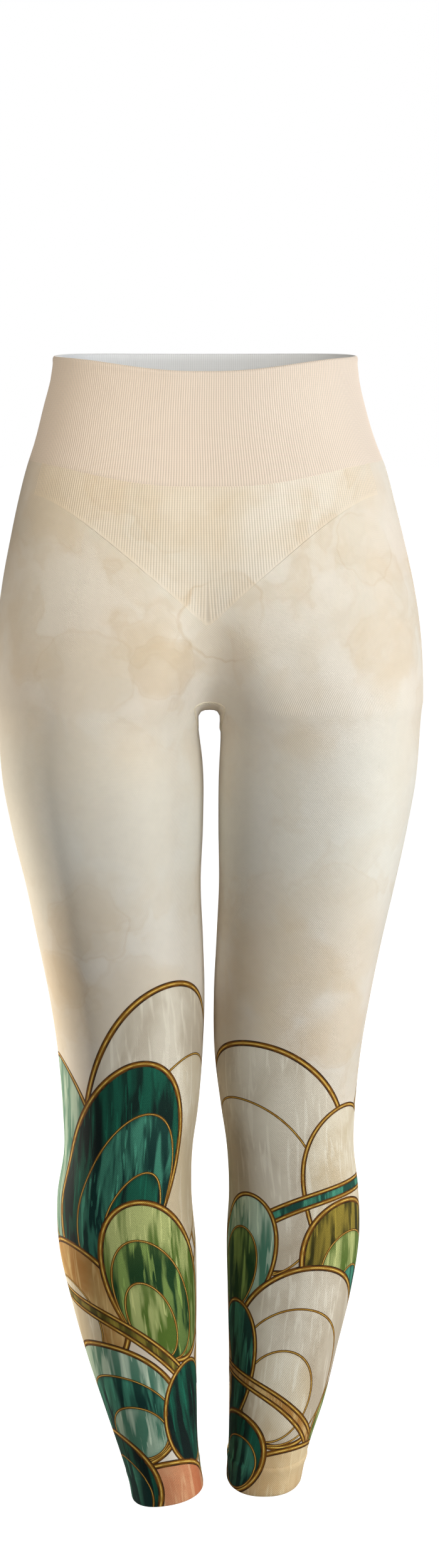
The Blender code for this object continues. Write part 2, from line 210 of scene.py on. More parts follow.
def oval(share):
    """The depth of an oval, as a share of its most, at a share of its half width."""
    return np.maximum(1 - np.abs(share) ** ROUNDNESS, 0) ** (1 / ROUNDNESS)


def depths(row):
    """A section's side line, its reach to the front of it, and its reach to the back."""
    side = SIDE_LINE * (row.front + row.back)
    return side, side - row.front, row.back - side


def hip_depth(across, row):
    """How deep the hips' section is, as a share, at distances across from its middle."""
    outer = oval(np.maximum(across - row.crown, 0) / (row.half - row.crown))
    softened = across - row.soften * (1 - np.exp(-across / row.soften))
    whole = row.crown - row.soften * (1 - np.exp(-row.crown / row.soften))
    inner = 1 - (1 - np.clip(softened / whole, 0, 1)) ** VALLEY_POWER
    return np.where(across > row.crown, outer, row.valley + (1 - row.valley) * inner)


print("depth at the middle of the hips, as a share:", round(float(hip_depth(0, hip_at(FULLEST))), 2))


# %% Even steps along an outline
def lengths_along(outline):
    """The distance along an outline to each of its points."""
    return np.concatenate([[0], np.cumsum(np.linalg.norm(np.diff(outline, axis=0), axis=1))])


def evenly(outline, steps):
    """Points at equal distances along an outline, from its first point to its last."""
    length = lengths_along(outline)
    wanted = np.linspace(0, length[-1], steps + 1)
    return np.stack([np.interp(wanted, length, outline[:, k]) for k in (0, 1)], axis=1)


print("the middle of an L of 10 and 20 mm:", evenly(np.array([[0, 0], [10, 0], [10, 20]]), 2)[1])

# %% [markdown]
# ## Sections of the hips and legs
#
# The knit's columns run down from the waist without a break: those round the side of the hips go on round the
# outside of each leg. So both sections are laid out with the same columns, and near the crotch one form is
# eased into the other.

# %% Columns of the knit
ARC_STEPS = 88  # round one half of the hips, and round the outside of one leg
YOKE_STEPS = 32  # of those, the ones that the yoke reaches over
BRIDGE_STEPS = 8  # across the gusset's width
INNER_STEPS = 24  # along the gusset, and round the inside of one leg
OUTLINE_STEPS = 480

FRONT_BRIDGE = range(BRIDGE_STEPS - 1)
LEFT_ARC = range(FRONT_BRIDGE.stop, FRONT_BRIDGE.stop + ARC_STEPS + 1)
BACK_BRIDGE = range(LEFT_ARC.stop, LEFT_ARC.stop + BRIDGE_STEPS - 1)
RIGHT_ARC = range(BACK_BRIDGE.stop, BACK_BRIDGE.stop + ARC_STEPS + 1)
COLUMNS = RIGHT_ARC.stop
FRONT_MIDDLE = FRONT_BRIDGE[BRIDGE_STEPS // 2 - 1]
BACK_MIDDLE = BACK_BRIDGE[BRIDGE_STEPS // 2 - 1]
print(COLUMNS, "columns round the hips, and", ARC_STEPS + INNER_STEPS, "round a leg")

# %% Sections of the hips
GUSSET_HALF_WIDTH = 13.0


def bridge_places():
    """Distances across the gusset's ends, closer together where the arch turns down."""
    return GUSSET_HALF_WIDTH * np.sin(np.linspace(-1, 1, BRIDGE_STEPS + 1) * np.pi / 2)


def hip_arc(height):
    """The left half of the hips' section, about its middle, from the front bridge to the back one."""
    row = hip_at(height)
    side, front, back = depths(row)
    start = np.arcsin(GUSSET_HALF_WIDTH / row.half)
    turn = np.linspace(start, np.pi - start, OUTLINE_STEPS)
    across = row.half * np.sin(turn)
    share = hip_depth(across, row)
    y = np.where(turn < np.pi / 2, side - front * share, side + back * share)
    return evenly(np.stack([across, y], axis=1), ARC_STEPS)


def hip_section(height):
    """The whole section: front bridge from right to left, left arc, back bridge, right arc."""
    row = hip_at(height)
    side, front, back = depths(row)
    arc = hip_arc(height)
    across = bridge_places()[1:-1]
    share = hip_depth(np.abs(across), row)
    front_bridge = np.stack([across, side - front * share], axis=1)
    back_bridge = np.stack([-across, side + back * share], axis=1)
    section = np.concatenate([front_bridge, arc, back_bridge, arc[::-1] * (-1, 1)])
    return section + (row.middle, 0)


fullest_section = hip_section(FULLEST)
around_hips = lengths_along(np.vstack([fullest_section, fullest_section[:1]]))[-1]
print("round the fullest section, in and out of its valleys:", round(around_hips), "mm")

# %% Sections of the legs
GUSSET_END = -287.0
GUSSET_END_ARCH = 5.0
LEGS_START = GUSSET_END - GUSSET_END_ARCH
LEGS_APART = -325.0  # from here down, the legs have their own form
CORNER = 0.93  # a leg's outer arc reaches inwards as far as this share of the half width

STRIDE = {LEFT: 18.0, RIGHT: -10.0}  # how far back each ankle is; a negative one is forward
STRIDE_START, STRIDE_FULL = -305.0, -995.0
HEM = {LEFT: -992.5, RIGHT: -995.0}
HEM_TILT_OUT = {LEFT: 0.0, RIGHT: -5.0}
HEM_TILT_FRONT = {LEFT: -4.5, RIGHT: 0.0}
TILT_START = -850.0
CUFF_HEIGHT = 27.0


def leg_section(side, height):
    """A leg's section: its outer arc from front corner to back corner, and its inner arc back again."""
    inner, outer = leg_edges(side, height)
    middle, half = (inner + outer) / 2, abs(outer - inner) / 2
    line, front, back = depths(leg_at(height))
    corner = np.arccos(CORNER ** (ROUNDNESS / 2))
    shift = STRIDE[side] * ease((STRIDE_START - height) / (STRIDE_START - STRIDE_FULL))

    def arc(start, end, steps):
        turn = np.linspace(start, end, OUTLINE_STEPS)
        out, ahead = -np.cos(turn), np.sin(turn)
        x = middle + side * half * np.sign(out) * np.abs(out) ** (2 / ROUNDNESS)
        y = line + np.where(ahead > 0, -front, back) * np.abs(ahead) ** (2 / ROUNDNESS) + shift
        return evenly(np.stack([x, y], axis=1), steps)

    return arc(corner, 2 * np.pi - corner, ARC_STEPS), arc(-corner, corner, INNER_STEPS)


def tilt(side, points, height):
    """The heights of one section's points: near the hem, the rings tilt as the hem does."""
    share = ease((TILT_START - height) / (TILT_START - HEM[side] - CUFF_HEIGHT))
    x, y = points[:, 0], points[:, 1]
    inner, outer = leg_edges(side, height)
    out = side * (x - (inner + outer) / 2) / (abs(outer - inner) / 2)
    ahead = -(y - y.mean()) / np.ptp(y) * 2
    return height + share * (HEM_TILT_OUT[side] * out + HEM_TILT_FRONT[side] * ahead)


def leg_ring(side, height):
    """A closed ring round a leg, outer arc first. Near the top it keeps the hips' form."""
    outer, inner = leg_section(side, height)
    share = ease((LEGS_START - height) / (LEGS_START - LEGS_APART))
    hip = hip_arc(height) * (side, 1) + (hip_at(height).middle, 0)
    ring = np.concatenate([mix(hip, outer, share), inner[1:-1]])
    return np.column_stack([ring, tilt(side, ring, height)])


print("round the left knee:", round(lengths_along(leg_ring(LEFT, -682)[:, :2])[-1]), "mm")

# %% [markdown]
# ## Stacks of sections
#
# Working out a section takes a while, and the sheets have many rows. So the sections are worked out once, at
# close levels, and the rows are read from between them. Each ring starts at the back, or at the inside of the
# leg, because that is where a knit pattern or a print may meet its own other end. With each point goes its
# distance round the ring, which is what a tape measure would say.

# %% Sections at close levels, with their run round the figure
HIP_LEVELS = np.arange(0, -331.0, -1.5)
LEG_LEVELS = np.arange(FULLEST, -1012.0, -2.0)
HIP_RING = [(BACK_MIDDLE + k) % COLUMNS for k in range(COLUMNS + 1)]
FRONT = HIP_RING.index(FRONT_MIDDLE)
LEG_RING_STEPS = ARC_STEPS + INNER_STEPS
LEG_RING = [(ARC_STEPS + INNER_STEPS // 2 + k) % LEG_RING_STEPS for k in range(LEG_RING_STEPS + 1)]
LEG_SIDE = LEG_RING.index(ARC_STEPS // 2)
INSIDE_LEG = np.array(LEG_RING) > ARC_STEPS


def with_run(section, zero):
    """A section's points, each with its distance along the section from its point number zero."""
    run = lengths_along(section[:, :2])
    return np.column_stack([section, run - run[zero]])


def at_heights(stack, levels, heights):
    """Reads a stack of sections, taken at these levels, at a grid of heights, column by column."""
    place = (levels[0] - heights) / (levels[0] - levels[1])
    upper = np.clip(place.astype(int), 0, len(levels) - 2)
    columns = np.arange(heights.shape[1])
    return mix(stack[upper, columns], stack[upper + 1, columns], (place - upper)[..., None])


def leg_level(side, level, side_run):
    """A leg's ring with two runs: that of the knit, and that of the print, which is 0 at the leg's front."""
    ring = with_run(leg_ring(side, level)[LEG_RING], LEG_SIDE)
    reach, run = side * ring[:, 0], ring[:, 3]
    front_half = slice(0, int(np.argmax(reach)))
    middle = side * sum(leg_edges(side, level)) / 2
    front = np.interp(middle, reach[front_half], run[front_half])
    return np.column_stack([ring[:, :3], side_run + side * run, run - front])


hip_stack = np.array([with_run(hip_section(level)[HIP_RING], FRONT) for level in HIP_LEVELS])
last_hip_run = hip_stack[int(np.searchsorted(-HIP_LEVELS, -LEGS_START)), :, 2]
ARC = {LEFT: LEFT_ARC, RIGHT: RIGHT_ARC}
SIDE_RUN = {side: last_hip_run[HIP_RING.index(ARC[side][ARC_STEPS // 2])] for side in ARC}
leg_stack = {side: np.array([leg_level(side, level, SIDE_RUN[side]) for level in LEG_LEVELS]) for side in ARC}
print("sections:", len(hip_stack), "of", COLUMNS, "points, and twice", len(LEG_LEVELS), "of", LEG_RING_STEPS)

# %% [markdown]
# ## The lines where the pieces meet
#
# The rim and the waistband's lower edge both dip at the middle of the front. The yoke ends in a V. Under
# them the plain knit goes down to the gusset, whose two ends are arches.

# %% Edge lines
RIM_RISE = 1.5  # how far the rim stands above the waist at the sides
RIM_DIP = 8.0  # and how far below it at the middle of the front
RIM_POWER = 6  # a higher power makes a narrower dip
BAND_SEAM = -86.0
BAND_SEAM_DIP = 16.0
BAND_SEAM_POWER = 5
YOKE_SHOULDER = -112.0  # where the V begins at both sides
YOKE_TIP = -217.0
YOKE_BOW = 1.45  # 1 would make the V's sides straight

YOKE_LEFT = HIP_RING.index(LEFT_ARC[YOKE_STEPS])
YOKE_RIGHT = HIP_RING.index(RIGHT_ARC[-1 - YOKE_STEPS])
tip_section = hip_section(YOKE_TIP)[HIP_RING]
YOKE_HALF = abs(tip_section[YOKE_LEFT, 0] - tip_section[YOKE_RIGHT, 0]) / 2


def front_share(y, height):
    """1 at the middle of the front, and 0 at the sides and all over the back."""
    side, front, _ = depths(hip_at(height))
    return np.clip((side - y) / front, 0, 1)


def rim_line(section):
    """A soft wave: highest at the sides, level at the back, and lowest at the front."""
    side, _, back = depths(hip_at(0))
    back_share = np.clip((section[:, 1] - side) / back, 0, 1)
    front = front_share(section[:, 1], 0) ** RIM_POWER
    return RIM_RISE * (1 - back_share**4) - (RIM_DIP + RIM_RISE) * front


def band_line(section):
    return BAND_SEAM - BAND_SEAM_DIP * front_share(section[:, 1], BAND_SEAM) ** BAND_SEAM_POWER


def yoke_line(section):
    """The V's height at points of the front, taken at the level of its tip."""
    share = np.clip(np.abs(section[:, 0] - hip_at(YOKE_TIP).middle) / YOKE_HALF, 0, 1)
    return mix(YOKE_SHOULDER, YOKE_TIP, (1 - share) ** YOKE_BOW)


def hips_end_line(section):
    """Level, but for the arches over the gusset's ends."""
    share = np.clip(np.abs(section[:, 0] - hip_at(GUSSET_END).middle) / GUSSET_HALF_WIDTH, 0, 1)
    return GUSSET_END - GUSSET_END_ARCH * (1 - np.sqrt(1 - share**2))


def rows_between(top, bottom, shares):
    """A grid of heights: one row for each share of the way down from one line to another."""
    return mix(top[None, :], bottom[None, :], np.asarray(shares)[:, None])


print("yoke:", round(2 * YOKE_HALF), "mm wide and", round(BAND_SEAM - BAND_SEAM_DIP - YOKE_TIP), "mm deep")

# %% [markdown]
# ## Laying a sheet of knit
#
# Knit is a grid of stitches: columns that run down, called wales, and rows that run round, called courses. So
# each sheet starts as Blender's own grid, and every vertex is then put in its place on the figure. A tube's
# first and last columns meet, and they are welded. The sheet also keeps a map of itself, counted in
# millimetres of cloth, which the knit lines and the print follow.

# %% Sheets and their maps
def new_cloth(*maps):
    cloth = bmesh.new()
    for name in maps:
        cloth.loops.layers.uv.new(name)
    return cloth


def lay_sheet(cloth, points, maps=None, finishes=None):
    """Adds a sheet to cloth. points and each of the maps is a grid of rows and columns, and finishes gives
    the material of the faces above each row."""
    rows, columns = points.shape[:2]
    made = bmesh.ops.create_grid(cloth, x_segments=columns - 1, y_segments=rows - 1, size=1)
    layers = [(cloth.loops.layers.uv[name], grid.reshape(-1, 2)) for name, grid in (maps or {}).items()]
    for k, (vert, place) in enumerate(zip(made["verts"], points.reshape(-1, 3) * MM)):
        vert.co = place
        for layer, grid in layers:
            for loop in vert.link_loops:
                loop[layer].uv = grid[k]
        if finishes is not None:
            for face in vert.link_faces:
                face.material_index = finishes[k // columns]


def outwards(points, turn=1, closed=True):
    """The level direction out of the cloth at each point. A closed grid's last column repeats its first."""
    if closed:
        ring = points[:, :-1]
        along = np.roll(ring, -1, axis=1) - np.roll(ring, 1, axis=1)
        along = np.concatenate([along, along[:, :1]], axis=1)
    else:
        along = np.gradient(points, axis=1)
    out = turn * np.dstack([along[..., 1], -along[..., 0], np.zeros(points.shape[:2])])
    return out / np.linalg.norm(out, axis=2, keepdims=True)


# %% Finished pieces
WELD = 1e-6


def finish_piece(cloth, name, nodes, materials):
    """Welds the sheets, turns their faces outwards, and makes the object that stands for the nodes."""
    bmesh.ops.remove_doubles(cloth, verts=cloth.verts, dist=WELD)
    bmesh.ops.recalc_face_normals(cloth, faces=cloth.faces)
    for edge in cloth.edges:
        edge.smooth = not edge.is_boundary  # so that the shading runs straight on to the cloth's edge
    mesh = bpy.data.meshes.new(name)
    cloth.to_mesh(mesh)
    cloth.free()
    mesh.shade_smooth()
    for material in materials:
        mesh.materials.append(material)
    piece = add_object(name, mesh)
    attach(piece, "root")
    if nodes:
        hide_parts(*nodes)
    print(name, len(mesh.polygons), "faces")
    return piece


def thicken(piece, cloth):
    """Gives a sheet the thickness of its cloth, inwards. Its inside is the next material in the list."""
    wall = piece.modifiers.new("cloth", "SOLIDIFY")
    wall.thickness = cloth * MM
    wall.offset = -1
    wall.material_offset = 1
    wall.use_even_offset = True


# %% [markdown]
# ## The waistband
#
# The band is knitted in a fine vertical rib and folded double, so its rim is a soft roll with no cut edge.
# A bump map could draw the ribs, but the rim shows them in outline. So the ribs are real relief here: each
# one is six columns wide, rounded, with a narrow groove. The wall is closed: it goes up the outside, over the
# rim and down the inside, where the ribs lie flatter.

# %% The band's rows, up the outside and down the inside
BAND_CLOTH = 2.2
BAND_PROUD = 0.05

# along: the share of the way from the rim down to the lower edge. rise: millimetres above that. out: how far
# it stands out of the figure's skin. rib: the ribs' depth there, as a share. inside: 1 on the inner side.
BandRow = namedtuple("BandRow", "along rise out rib inside")


def band_rows():
    yield BandRow(1, 0.0, -1.0, 0.0, 0)
    yield BandRow(1, 0.02, -0.2, 0.3, 0)
    yield BandRow(1, 0.35, BAND_PROUD, 1.0, 0)
    for along in np.linspace(0.95, 0.14, 9):
        yield BandRow(along, 0, BAND_PROUD, 1.0, 0)
    yield BandRow(0, -9.0, -0.25, 1.0, 0)
    yield BandRow(0, -5.6, -0.4, 1.0, 0)
    yield BandRow(0, -3.4, -0.2, 0.9, 0)
    yield BandRow(0, -1.9, -0.3, 0.7, 0)
    yield BandRow(0, -0.8, -0.75, 0.45, 0)
    yield BandRow(0, -0.2, -1.4, 0.3, 0)
    yield BandRow(0, 0.0, -2.1, 0.2, 0)
    yield BandRow(0, -0.4, -2.9, 0.2, 1)
    yield BandRow(0, -1.6, -3.5, 0.25, 1)
    yield BandRow(0, -7.0, -3.0, 0.35, 1)
    for along in np.linspace(0.14, 0.98, 7):
        yield BandRow(along, 0, BAND_PROUD - BAND_CLOTH, 0.35, 1)
    yield BandRow(1, 0.2, -1.9, 0.0, 1)
    yield BandRow(1, 0.0, -1.0, 0.0, 1)


print("waistband:", len(list(band_rows())), "rows")

# %% Waistband
BAND_RIBS = 380
RIB_PITCH = 2.0  # one rib and its groove, as knitted; on the figure it is a little wider
RIB_FORM = (1.0, 0.55, 0.12, 0.0, 0.12, 0.55)  # the groove, and then round the rib, as shares of its depth
RIB_DEPTH = 0.26


def finely(stack, first, last, steps):
    """Stacked sections between two of their columns, laid out again in equal steps."""
    return np.array([with_run(evenly(section[first:last + 1, :2], steps), steps // 2) for section in stack])


def rib_grooves(columns):
    return np.resize(RIB_FORM, columns)


def level_index(levels, height):
    """The first of the levels at or below a height."""
    return int(np.argmax(levels <= height))


def make_waistband(materials):
    rows = list(band_rows())
    columns = BAND_RIBS * len(RIB_FORM) + 1
    levels = HIP_LEVELS[:level_index(HIP_LEVELS, BAND_SEAM - BAND_SEAM_DIP) + 2]
    stack = finely(hip_stack[:len(levels)], 0, COLUMNS, columns - 1)
    rim = rim_line(stack[0])
    edge = band_line(stack[level_index(levels, BAND_SEAM)])
    heights = rows_between(rim, edge, [row.along for row in rows])
    heights = heights + np.array([row.rise for row in rows])[:, None]
    skin = at_heights(stack, levels, np.minimum(heights, 0))
    points = np.dstack([skin[..., :2], heights])
    out = np.array([row.out for row in rows])[:, None] \
        - RIB_DEPTH * np.array([row.rib for row in rows])[:, None] * rib_grooves(columns)
    points += outwards(points) * out[..., None]
    ribs_across = np.broadcast_to(np.arange(columns) * RIB_PITCH / len(RIB_FORM), heights.shape)
    cloth = new_cloth("knit")
    lay_sheet(cloth, points, {"knit": np.dstack([ribs_across, heights])}, [row.inside for row in rows])
    return finish_piece(cloth, "waistband_knit", ["waistband"], materials)


print("waistband:", BAND_RIBS, "ribs of", RIB_PITCH, "mm")

# %% [markdown]
# ## Creases and hollows
#
# A cloth simulation could tighten the knit round a figure, but stretch knit follows the figure anyway, so
# each sheet is laid on the sections directly. A few shallow creases are then pressed in where leggings
# gather: at the crotch, behind the knees and above the ankles. One wide, soft hollow runs down the front
# towards the gap between the thighs.

# %% Creases
# across and down: the crease's middle, round from the front of the leg or of the hips, and down from the
# waist. turn: its slope in degrees. depth: into the cloth, so that a negative one stands out.
Crease = namedtuple("Crease", "across down turn length width depth")
HIP_CREASES = (
    Crease(2, -216, 90, 150, 36.0, 5.0),
    Crease(-24, -276, 38, 62, 4.0, 0.55),
    Crease(-30, -268, 40, 54, 4.5, -0.35),
    Crease(27, -279, -36, 56, 4.0, 0.5),
    Crease(-29, -222, -58, 26, 2.6, 0.5),
    Crease(-26, -219, -58, 24, 2.8, -0.3),
)
LEG_CREASES = (
    Crease(150, -662, 8, 96, 4.5, 0.9),
    Crease(152, -654, 8, 90, 5.0, -0.5),
    Crease(-162, -672, -10, 84, 4.5, 0.8),
    Crease(-160, -664, -10, 78, 5.0, -0.45),
    Crease(-70, -905, -14, 60, 4.0, 0.5),
    Crease(-68, -899, -14, 56, 4.5, -0.3),
    Crease(88, -930, 12, 56, 4.0, 0.5),
    Crease(88, -924, 12, 50, 4.5, -0.3),
    Crease(-30, -352, 30, 70, 5.0, 0.45),
)


def crease_depth(creases, across, down):
    """How far the creases press the cloth in, at points of its map."""
    depth = np.zeros(across.shape)
    for crease in creases:
        turn = np.radians(crease.turn)
        right, up = across - crease.across, down - crease.down
        along = (right * np.cos(turn) + up * np.sin(turn)) / (crease.length / 2)
        beside = (up * np.cos(turn) - right * np.sin(turn)) / crease.width
        depth += crease.depth * np.exp(-beside**2) * np.maximum(1 - along**2, 0) ** 2
    return depth


print(len(HIP_CREASES), "creases on the hips and", len(LEG_CREASES), "on each leg")

# %% [markdown]
# ## The yoke
#
# Under the band, the needles go on knitting rib across the front, fewer and fewer of them, down to a point.
# That ribbed V is called the yoke. No seam joins it to the plain knit: the ribs just end there. So the
# ribs get shallow along the V, and the two sheets meet there flush.

# %% Yoke
YOKE_CLOTH = 1.6
YOKE_RIBS = 150
YOKE_RIB_DEPTH = 0.28
YOKE_ROWS = 27
ROW_CROWDING = 1.5  # above 1, the rows lie closer together towards the V
TUCK = 0.6  # how far the yoke and the plain knit go up under the band
OVERLAP = 0.05  # of the yoke and the plain knit, along the V
RIB_END = 2.4  # the ribs get shallow over this length
# The painted shade that darkens the grooves' colour fades out over SHADE_END, along the V.
SHADE_END = 5.0  # and the shade in their grooves fades over this length


def make_yoke(materials):
    columns = YOKE_RIBS * len(RIB_FORM) + 1
    stack = finely(hip_stack, YOKE_RIGHT, YOKE_LEFT, columns - 1)
    edge = yoke_line(evenly(tip_section[YOKE_RIGHT:YOKE_LEFT + 1], columns - 1))
    seam = band_line(stack[level_index(HIP_LEVELS, BAND_SEAM)])
    shares = 1 - (1 - np.linspace(0, 1, YOKE_ROWS)) ** ROW_CROWDING
    heights = rows_between(seam + TUCK, edge - OVERLAP, shares)
    skin = at_heights(stack, HIP_LEVELS, heights)
    points = np.dstack([skin[..., :2], heights])
    out = outwards(points, closed=False)
    columns_in = columns / 2 - np.abs(np.arange(columns) - columns / 2)
    from_end = np.minimum(heights - edge, columns_in * RIB_PITCH / len(RIB_FORM))
    depth = YOKE_RIB_DEPTH * ease(from_end / RIB_END) * rib_grooves(columns)
    depth += crease_depth(HIP_CREASES, skin[..., 2], heights)
    points -= out * depth[..., None]
    ribs_across = np.broadcast_to(np.arange(columns) * RIB_PITCH / len(RIB_FORM), heights.shape)
    cloth = new_cloth("knit")
    lay_sheet(cloth, points, {"knit": np.dstack([ribs_across, heights - edge])})
    yoke = finish_piece(cloth, "yoke_knit", ["front_yoke"], materials)
    thicken(yoke, YOKE_CLOTH)
    return yoke


print("yoke:", YOKE_RIBS, "ribs and", YOKE_ROWS, "rows")

# %% [markdown]
# ## The hips and the legs
#
# The plain knit is one piece from the band to the ankles: a tube that goes on as two. Its rows lie five
# millimetres apart, and each row is a ring. The first rings of a leg ease out from the gusset's edge.

# %% Plain knit: the hips
HIP_ROW_SHARES = np.linspace(0, 1, 37)
SIDE_ROW_SHARES = np.linspace(0, 1, 6)
PLAIN, RIGHT_PRINT, LEFT_PRINT = 0, 2, 4  # each finish is followed in the list by its inside


def hip_sheet(cloth, heights, first=0):
    """Lays plain knit over the hips at these heights, from the ring's column number first on."""
    columns = slice(first, first + heights.shape[1])
    skin = at_heights(hip_stack[:, columns], HIP_LEVELS, heights)
    points = np.dstack([skin[..., :2], heights])
    knit = np.dstack([skin[..., 2], heights])
    closed = heights.shape[1] == COLUMNS + 1
    out = outwards(points, closed=closed)
    points -= out * crease_depth(HIP_CREASES, knit[..., 0], knit[..., 1])[..., None]
    lay_sheet(cloth, points, {"knit": knit, "print": knit}, [PLAIN] * len(points))
    return points


def lay_hips(cloth):
    """The knit round the hips. Returns its last row."""
    shoulder = np.full(COLUMNS + 1, YOKE_SHOULDER)
    seam = band_line(hip_stack[level_index(HIP_LEVELS, BAND_SEAM)]) + TUCK
    v_line = shoulder.copy()
    v_line[YOKE_RIGHT:YOKE_LEFT + 1] = yoke_line(tip_section[YOKE_RIGHT:YOKE_LEFT + 1])
    end = hips_end_line(hip_stack[level_index(HIP_LEVELS, GUSSET_END)])
    for side in (slice(0, YOKE_RIGHT + 1), slice(YOKE_LEFT, COLUMNS + 1)):
        hip_sheet(cloth, rows_between(seam[side], shoulder[side], SIDE_ROW_SHARES), side.start)
    return hip_sheet(cloth, rows_between(v_line, end, HIP_ROW_SHARES))[-1]


print("hips:", len(SIDE_ROW_SHARES) + len(HIP_ROW_SHARES) - 1, "rows")

# %% [markdown]
# ## The gusset
#
# A gusset is a small patch, sewn in where the four quarters of the body would meet, so that no seam crosses
# there and the legs can part. It is a saddle: an arch from side to side, and a hollow from front to back. Its
# edges run down on to the inner thighs. A flat seam holds it: a low welt with the sewing thread over it.

# %% The gusset's form
GUSSET_LOWEST = -300.2  # along its middle
GUSSET_EDGE_LOWEST = -318.0
GUSSET_FLATNESS = 4.0  # a higher one flattens the arch from side to side
GUSSET_WRAP = 1.5  # a higher one brings the edges on to the thighs sooner
GUSSET_SAG = 0.8  # a lower one makes the middle drop sooner
GUSSET_END_FADE = 4  # a higher one keeps the fit to the hips' last row nearer to it


def gusset_edge(side, front, back):
    """The gusset's long edge: from its front corner down on to the inner thigh and up to its back corner."""
    share = np.linspace(0, 1, INNER_STEPS + 1)
    points = mix(front, back, share[:, None])
    swing = np.sin(np.pi * share)
    inner, _ = leg_edges(side, GUSSET_LOWEST)
    points[:, 0] = mix(points[:, 0], inner, 1 - (1 - swing) ** GUSSET_WRAP)
    points[:, 2] += (GUSSET_EDGE_LOWEST - LEGS_START) * swing
    return points


def gusset_rows(edges, front_row, back_row):
    """Rows across the gusset from right to left, each an arch between its two long edges."""
    lean = np.sin(np.abs(np.linspace(-1, 1, BRIDGE_STEPS + 1)) * np.pi / 2)
    rise = np.maximum(1 - lean**GUSSET_FLATNESS, 0) ** (1 / GUSSET_FLATNESS)
    rows = []
    for i, share in enumerate(np.linspace(0, 1, INNER_STEPS + 1)):
        crest = mix(front_row[BRIDGE_STEPS // 2], back_row[BRIDGE_STEPS // 2], share)
        crest[2] += (GUSSET_LOWEST - GUSSET_END) * np.sin(np.pi * share) ** GUSSET_SAG
        half = BRIDGE_STEPS // 2
        edge = np.array([edges[RIGHT][i]] * half + [edges[LEFT][i]] * (half + 1))
        row = np.column_stack([mix(crest[0], edge[:, 0], lean),
                               mix(crest[1], edge[:, 1], lean**2),
                               mix(edge[:, 2], crest[2], rise)])
        rows.append((share, row))
    started, ended = front_row - rows[0][1], back_row - rows[-1][1]
    return np.array([row + (1 - share) ** GUSSET_END_FADE * started + share**GUSSET_END_FADE * ended
                     for share, row in rows])


# %% Welt and stitches
WELT_RADIUS = 0.9
WELT_SUNK = 0.4
STITCH_ROW = 1.3  # the two rows of stitches lie this far beside the seam
STITCH_RISE = 0.15
STITCH_SPACING = 2.2
STITCH_HALF_LENGTH = 1.0
STITCH_RADIUS = 0.28


def add_welt(cloth, path, radius):
    """A round welt along a closed path."""
    curve = bpy.data.curves.new("welt", "CURVE")
    curve.dimensions = "3D"
    curve.bevel_depth = radius * MM
    curve.bevel_resolution = 2
    spline = curve.splines.new("POLY")
    spline.points.add(len(path) - 1)
    for point, place in zip(spline.points, path * MM):
        point.co = (*place, 1)
    spline.use_cyclic_u = True
    holder = bpy.data.objects.new("welt", curve)
    mesh = holder.to_mesh()
    cloth.from_mesh(mesh)
    holder.to_mesh_clear()
    bpy.data.objects.remove(holder)
    bpy.data.curves.remove(curve)


def add_stitch(cloth, place, along, up):
    """One visible stitch: a short thread that lies along a direction on the cloth."""
    axes = Matrix((along, up.cross(along), up)).transposed()
    form = axes @ Matrix.Diagonal((STITCH_HALF_LENGTH, STITCH_RADIUS, STITCH_RADIUS)) * MM
    made = bmesh.ops.create_uvsphere(cloth, u_segments=6, v_segments=5, radius=1)
    bmesh.ops.transform(cloth, verts=made["verts"], matrix=form.to_4x4())
    bmesh.ops.translate(cloth, verts=made["verts"], vec=Vector(place) * MM)


def add_stitches(cloth, path, ups):
    """Stitches along a path, which lie flat on the cloth."""
    run = lengths_along(path)
    for wanted in np.arange(STITCH_SPACING / 2, run[-1], STITCH_SPACING):
        place, ahead, up = (Vector([np.interp(wanted + step, run, values[:, k]) for k in range(3)])
                            for values, step in ((path, 0), (path, STITCH_SPACING / 4), (ups, 0)))
        along = (ahead - place).normalized()
        add_stitch(cloth, place, along, (up - up.dot(along) * along).normalized())


# %% The gusset's patch and its seam
GUSSET_CLOTH = 1.6


def make_patch(materials, edges, front_row, back_row):
    rows = gusset_rows(edges, front_row, back_row)
    across = np.linspace(-GUSSET_HALF_WIDTH, GUSSET_HALF_WIDTH, rows.shape[1])
    knit = np.dstack([np.broadcast_to(across, rows.shape[:2]), rows[..., 1]])
    patch = new_cloth("knit")
    lay_sheet(patch, rows, {"knit": knit})
    gusset = finish_piece(patch, "gusset_patch", ["gusset"], materials)
    thicken(gusset, GUSSET_CLOTH)
    return gusset


def seam_line(edges, front_row, back_row):
    """The closed line of the seam, and the direction out of the cloth at each of its points."""
    stretches = ((front_row, (0, -1, -0.4)), (edges[LEFT][1:], (-LEFT, 0, -0.3)),
                 (back_row[-2::-1], (0, 1, -0.4)), (edges[RIGHT][-2:0:-1], (-RIGHT, 0, -0.3)))
    path = np.concatenate([points for points, _ in stretches])
    ups = np.concatenate([np.tile(up, (len(points), 1)) for points, up in stretches])
    return path, ups / np.linalg.norm(ups, axis=1, keepdims=True)


def make_seam(materials, path, ups):
    beside = np.cross(np.roll(path, -1, axis=0) - np.roll(path, 1, axis=0), ups)
    beside /= np.linalg.norm(beside, axis=1, keepdims=True)
    seam = bmesh.new()
    add_welt(seam, path - ups * WELT_SUNK, WELT_RADIUS)
    for row in (-STITCH_ROW, STITCH_ROW):
        add_stitches(seam, path + beside * row + ups * STITCH_RISE, ups)
    return finish_piece(seam, "gusset_seam", [], materials)


def make_gusset(materials, hip_end):
    half = BRIDGE_STEPS // 2
    front_row = hip_end[FRONT - half:FRONT + half + 1]
    back_row = np.concatenate([hip_end[half::-1], hip_end[-2:-2 - half:-1]])
    edges = {RIGHT: gusset_edge(RIGHT, front_row[0], back_row[0]),
             LEFT: gusset_edge(LEFT, front_row[-1], back_row[-1])}
    gusset = make_patch(materials, edges, front_row, back_row)
    seam = make_seam([thread], *seam_line(edges, front_row, back_row))
    return gusset, seam, edges


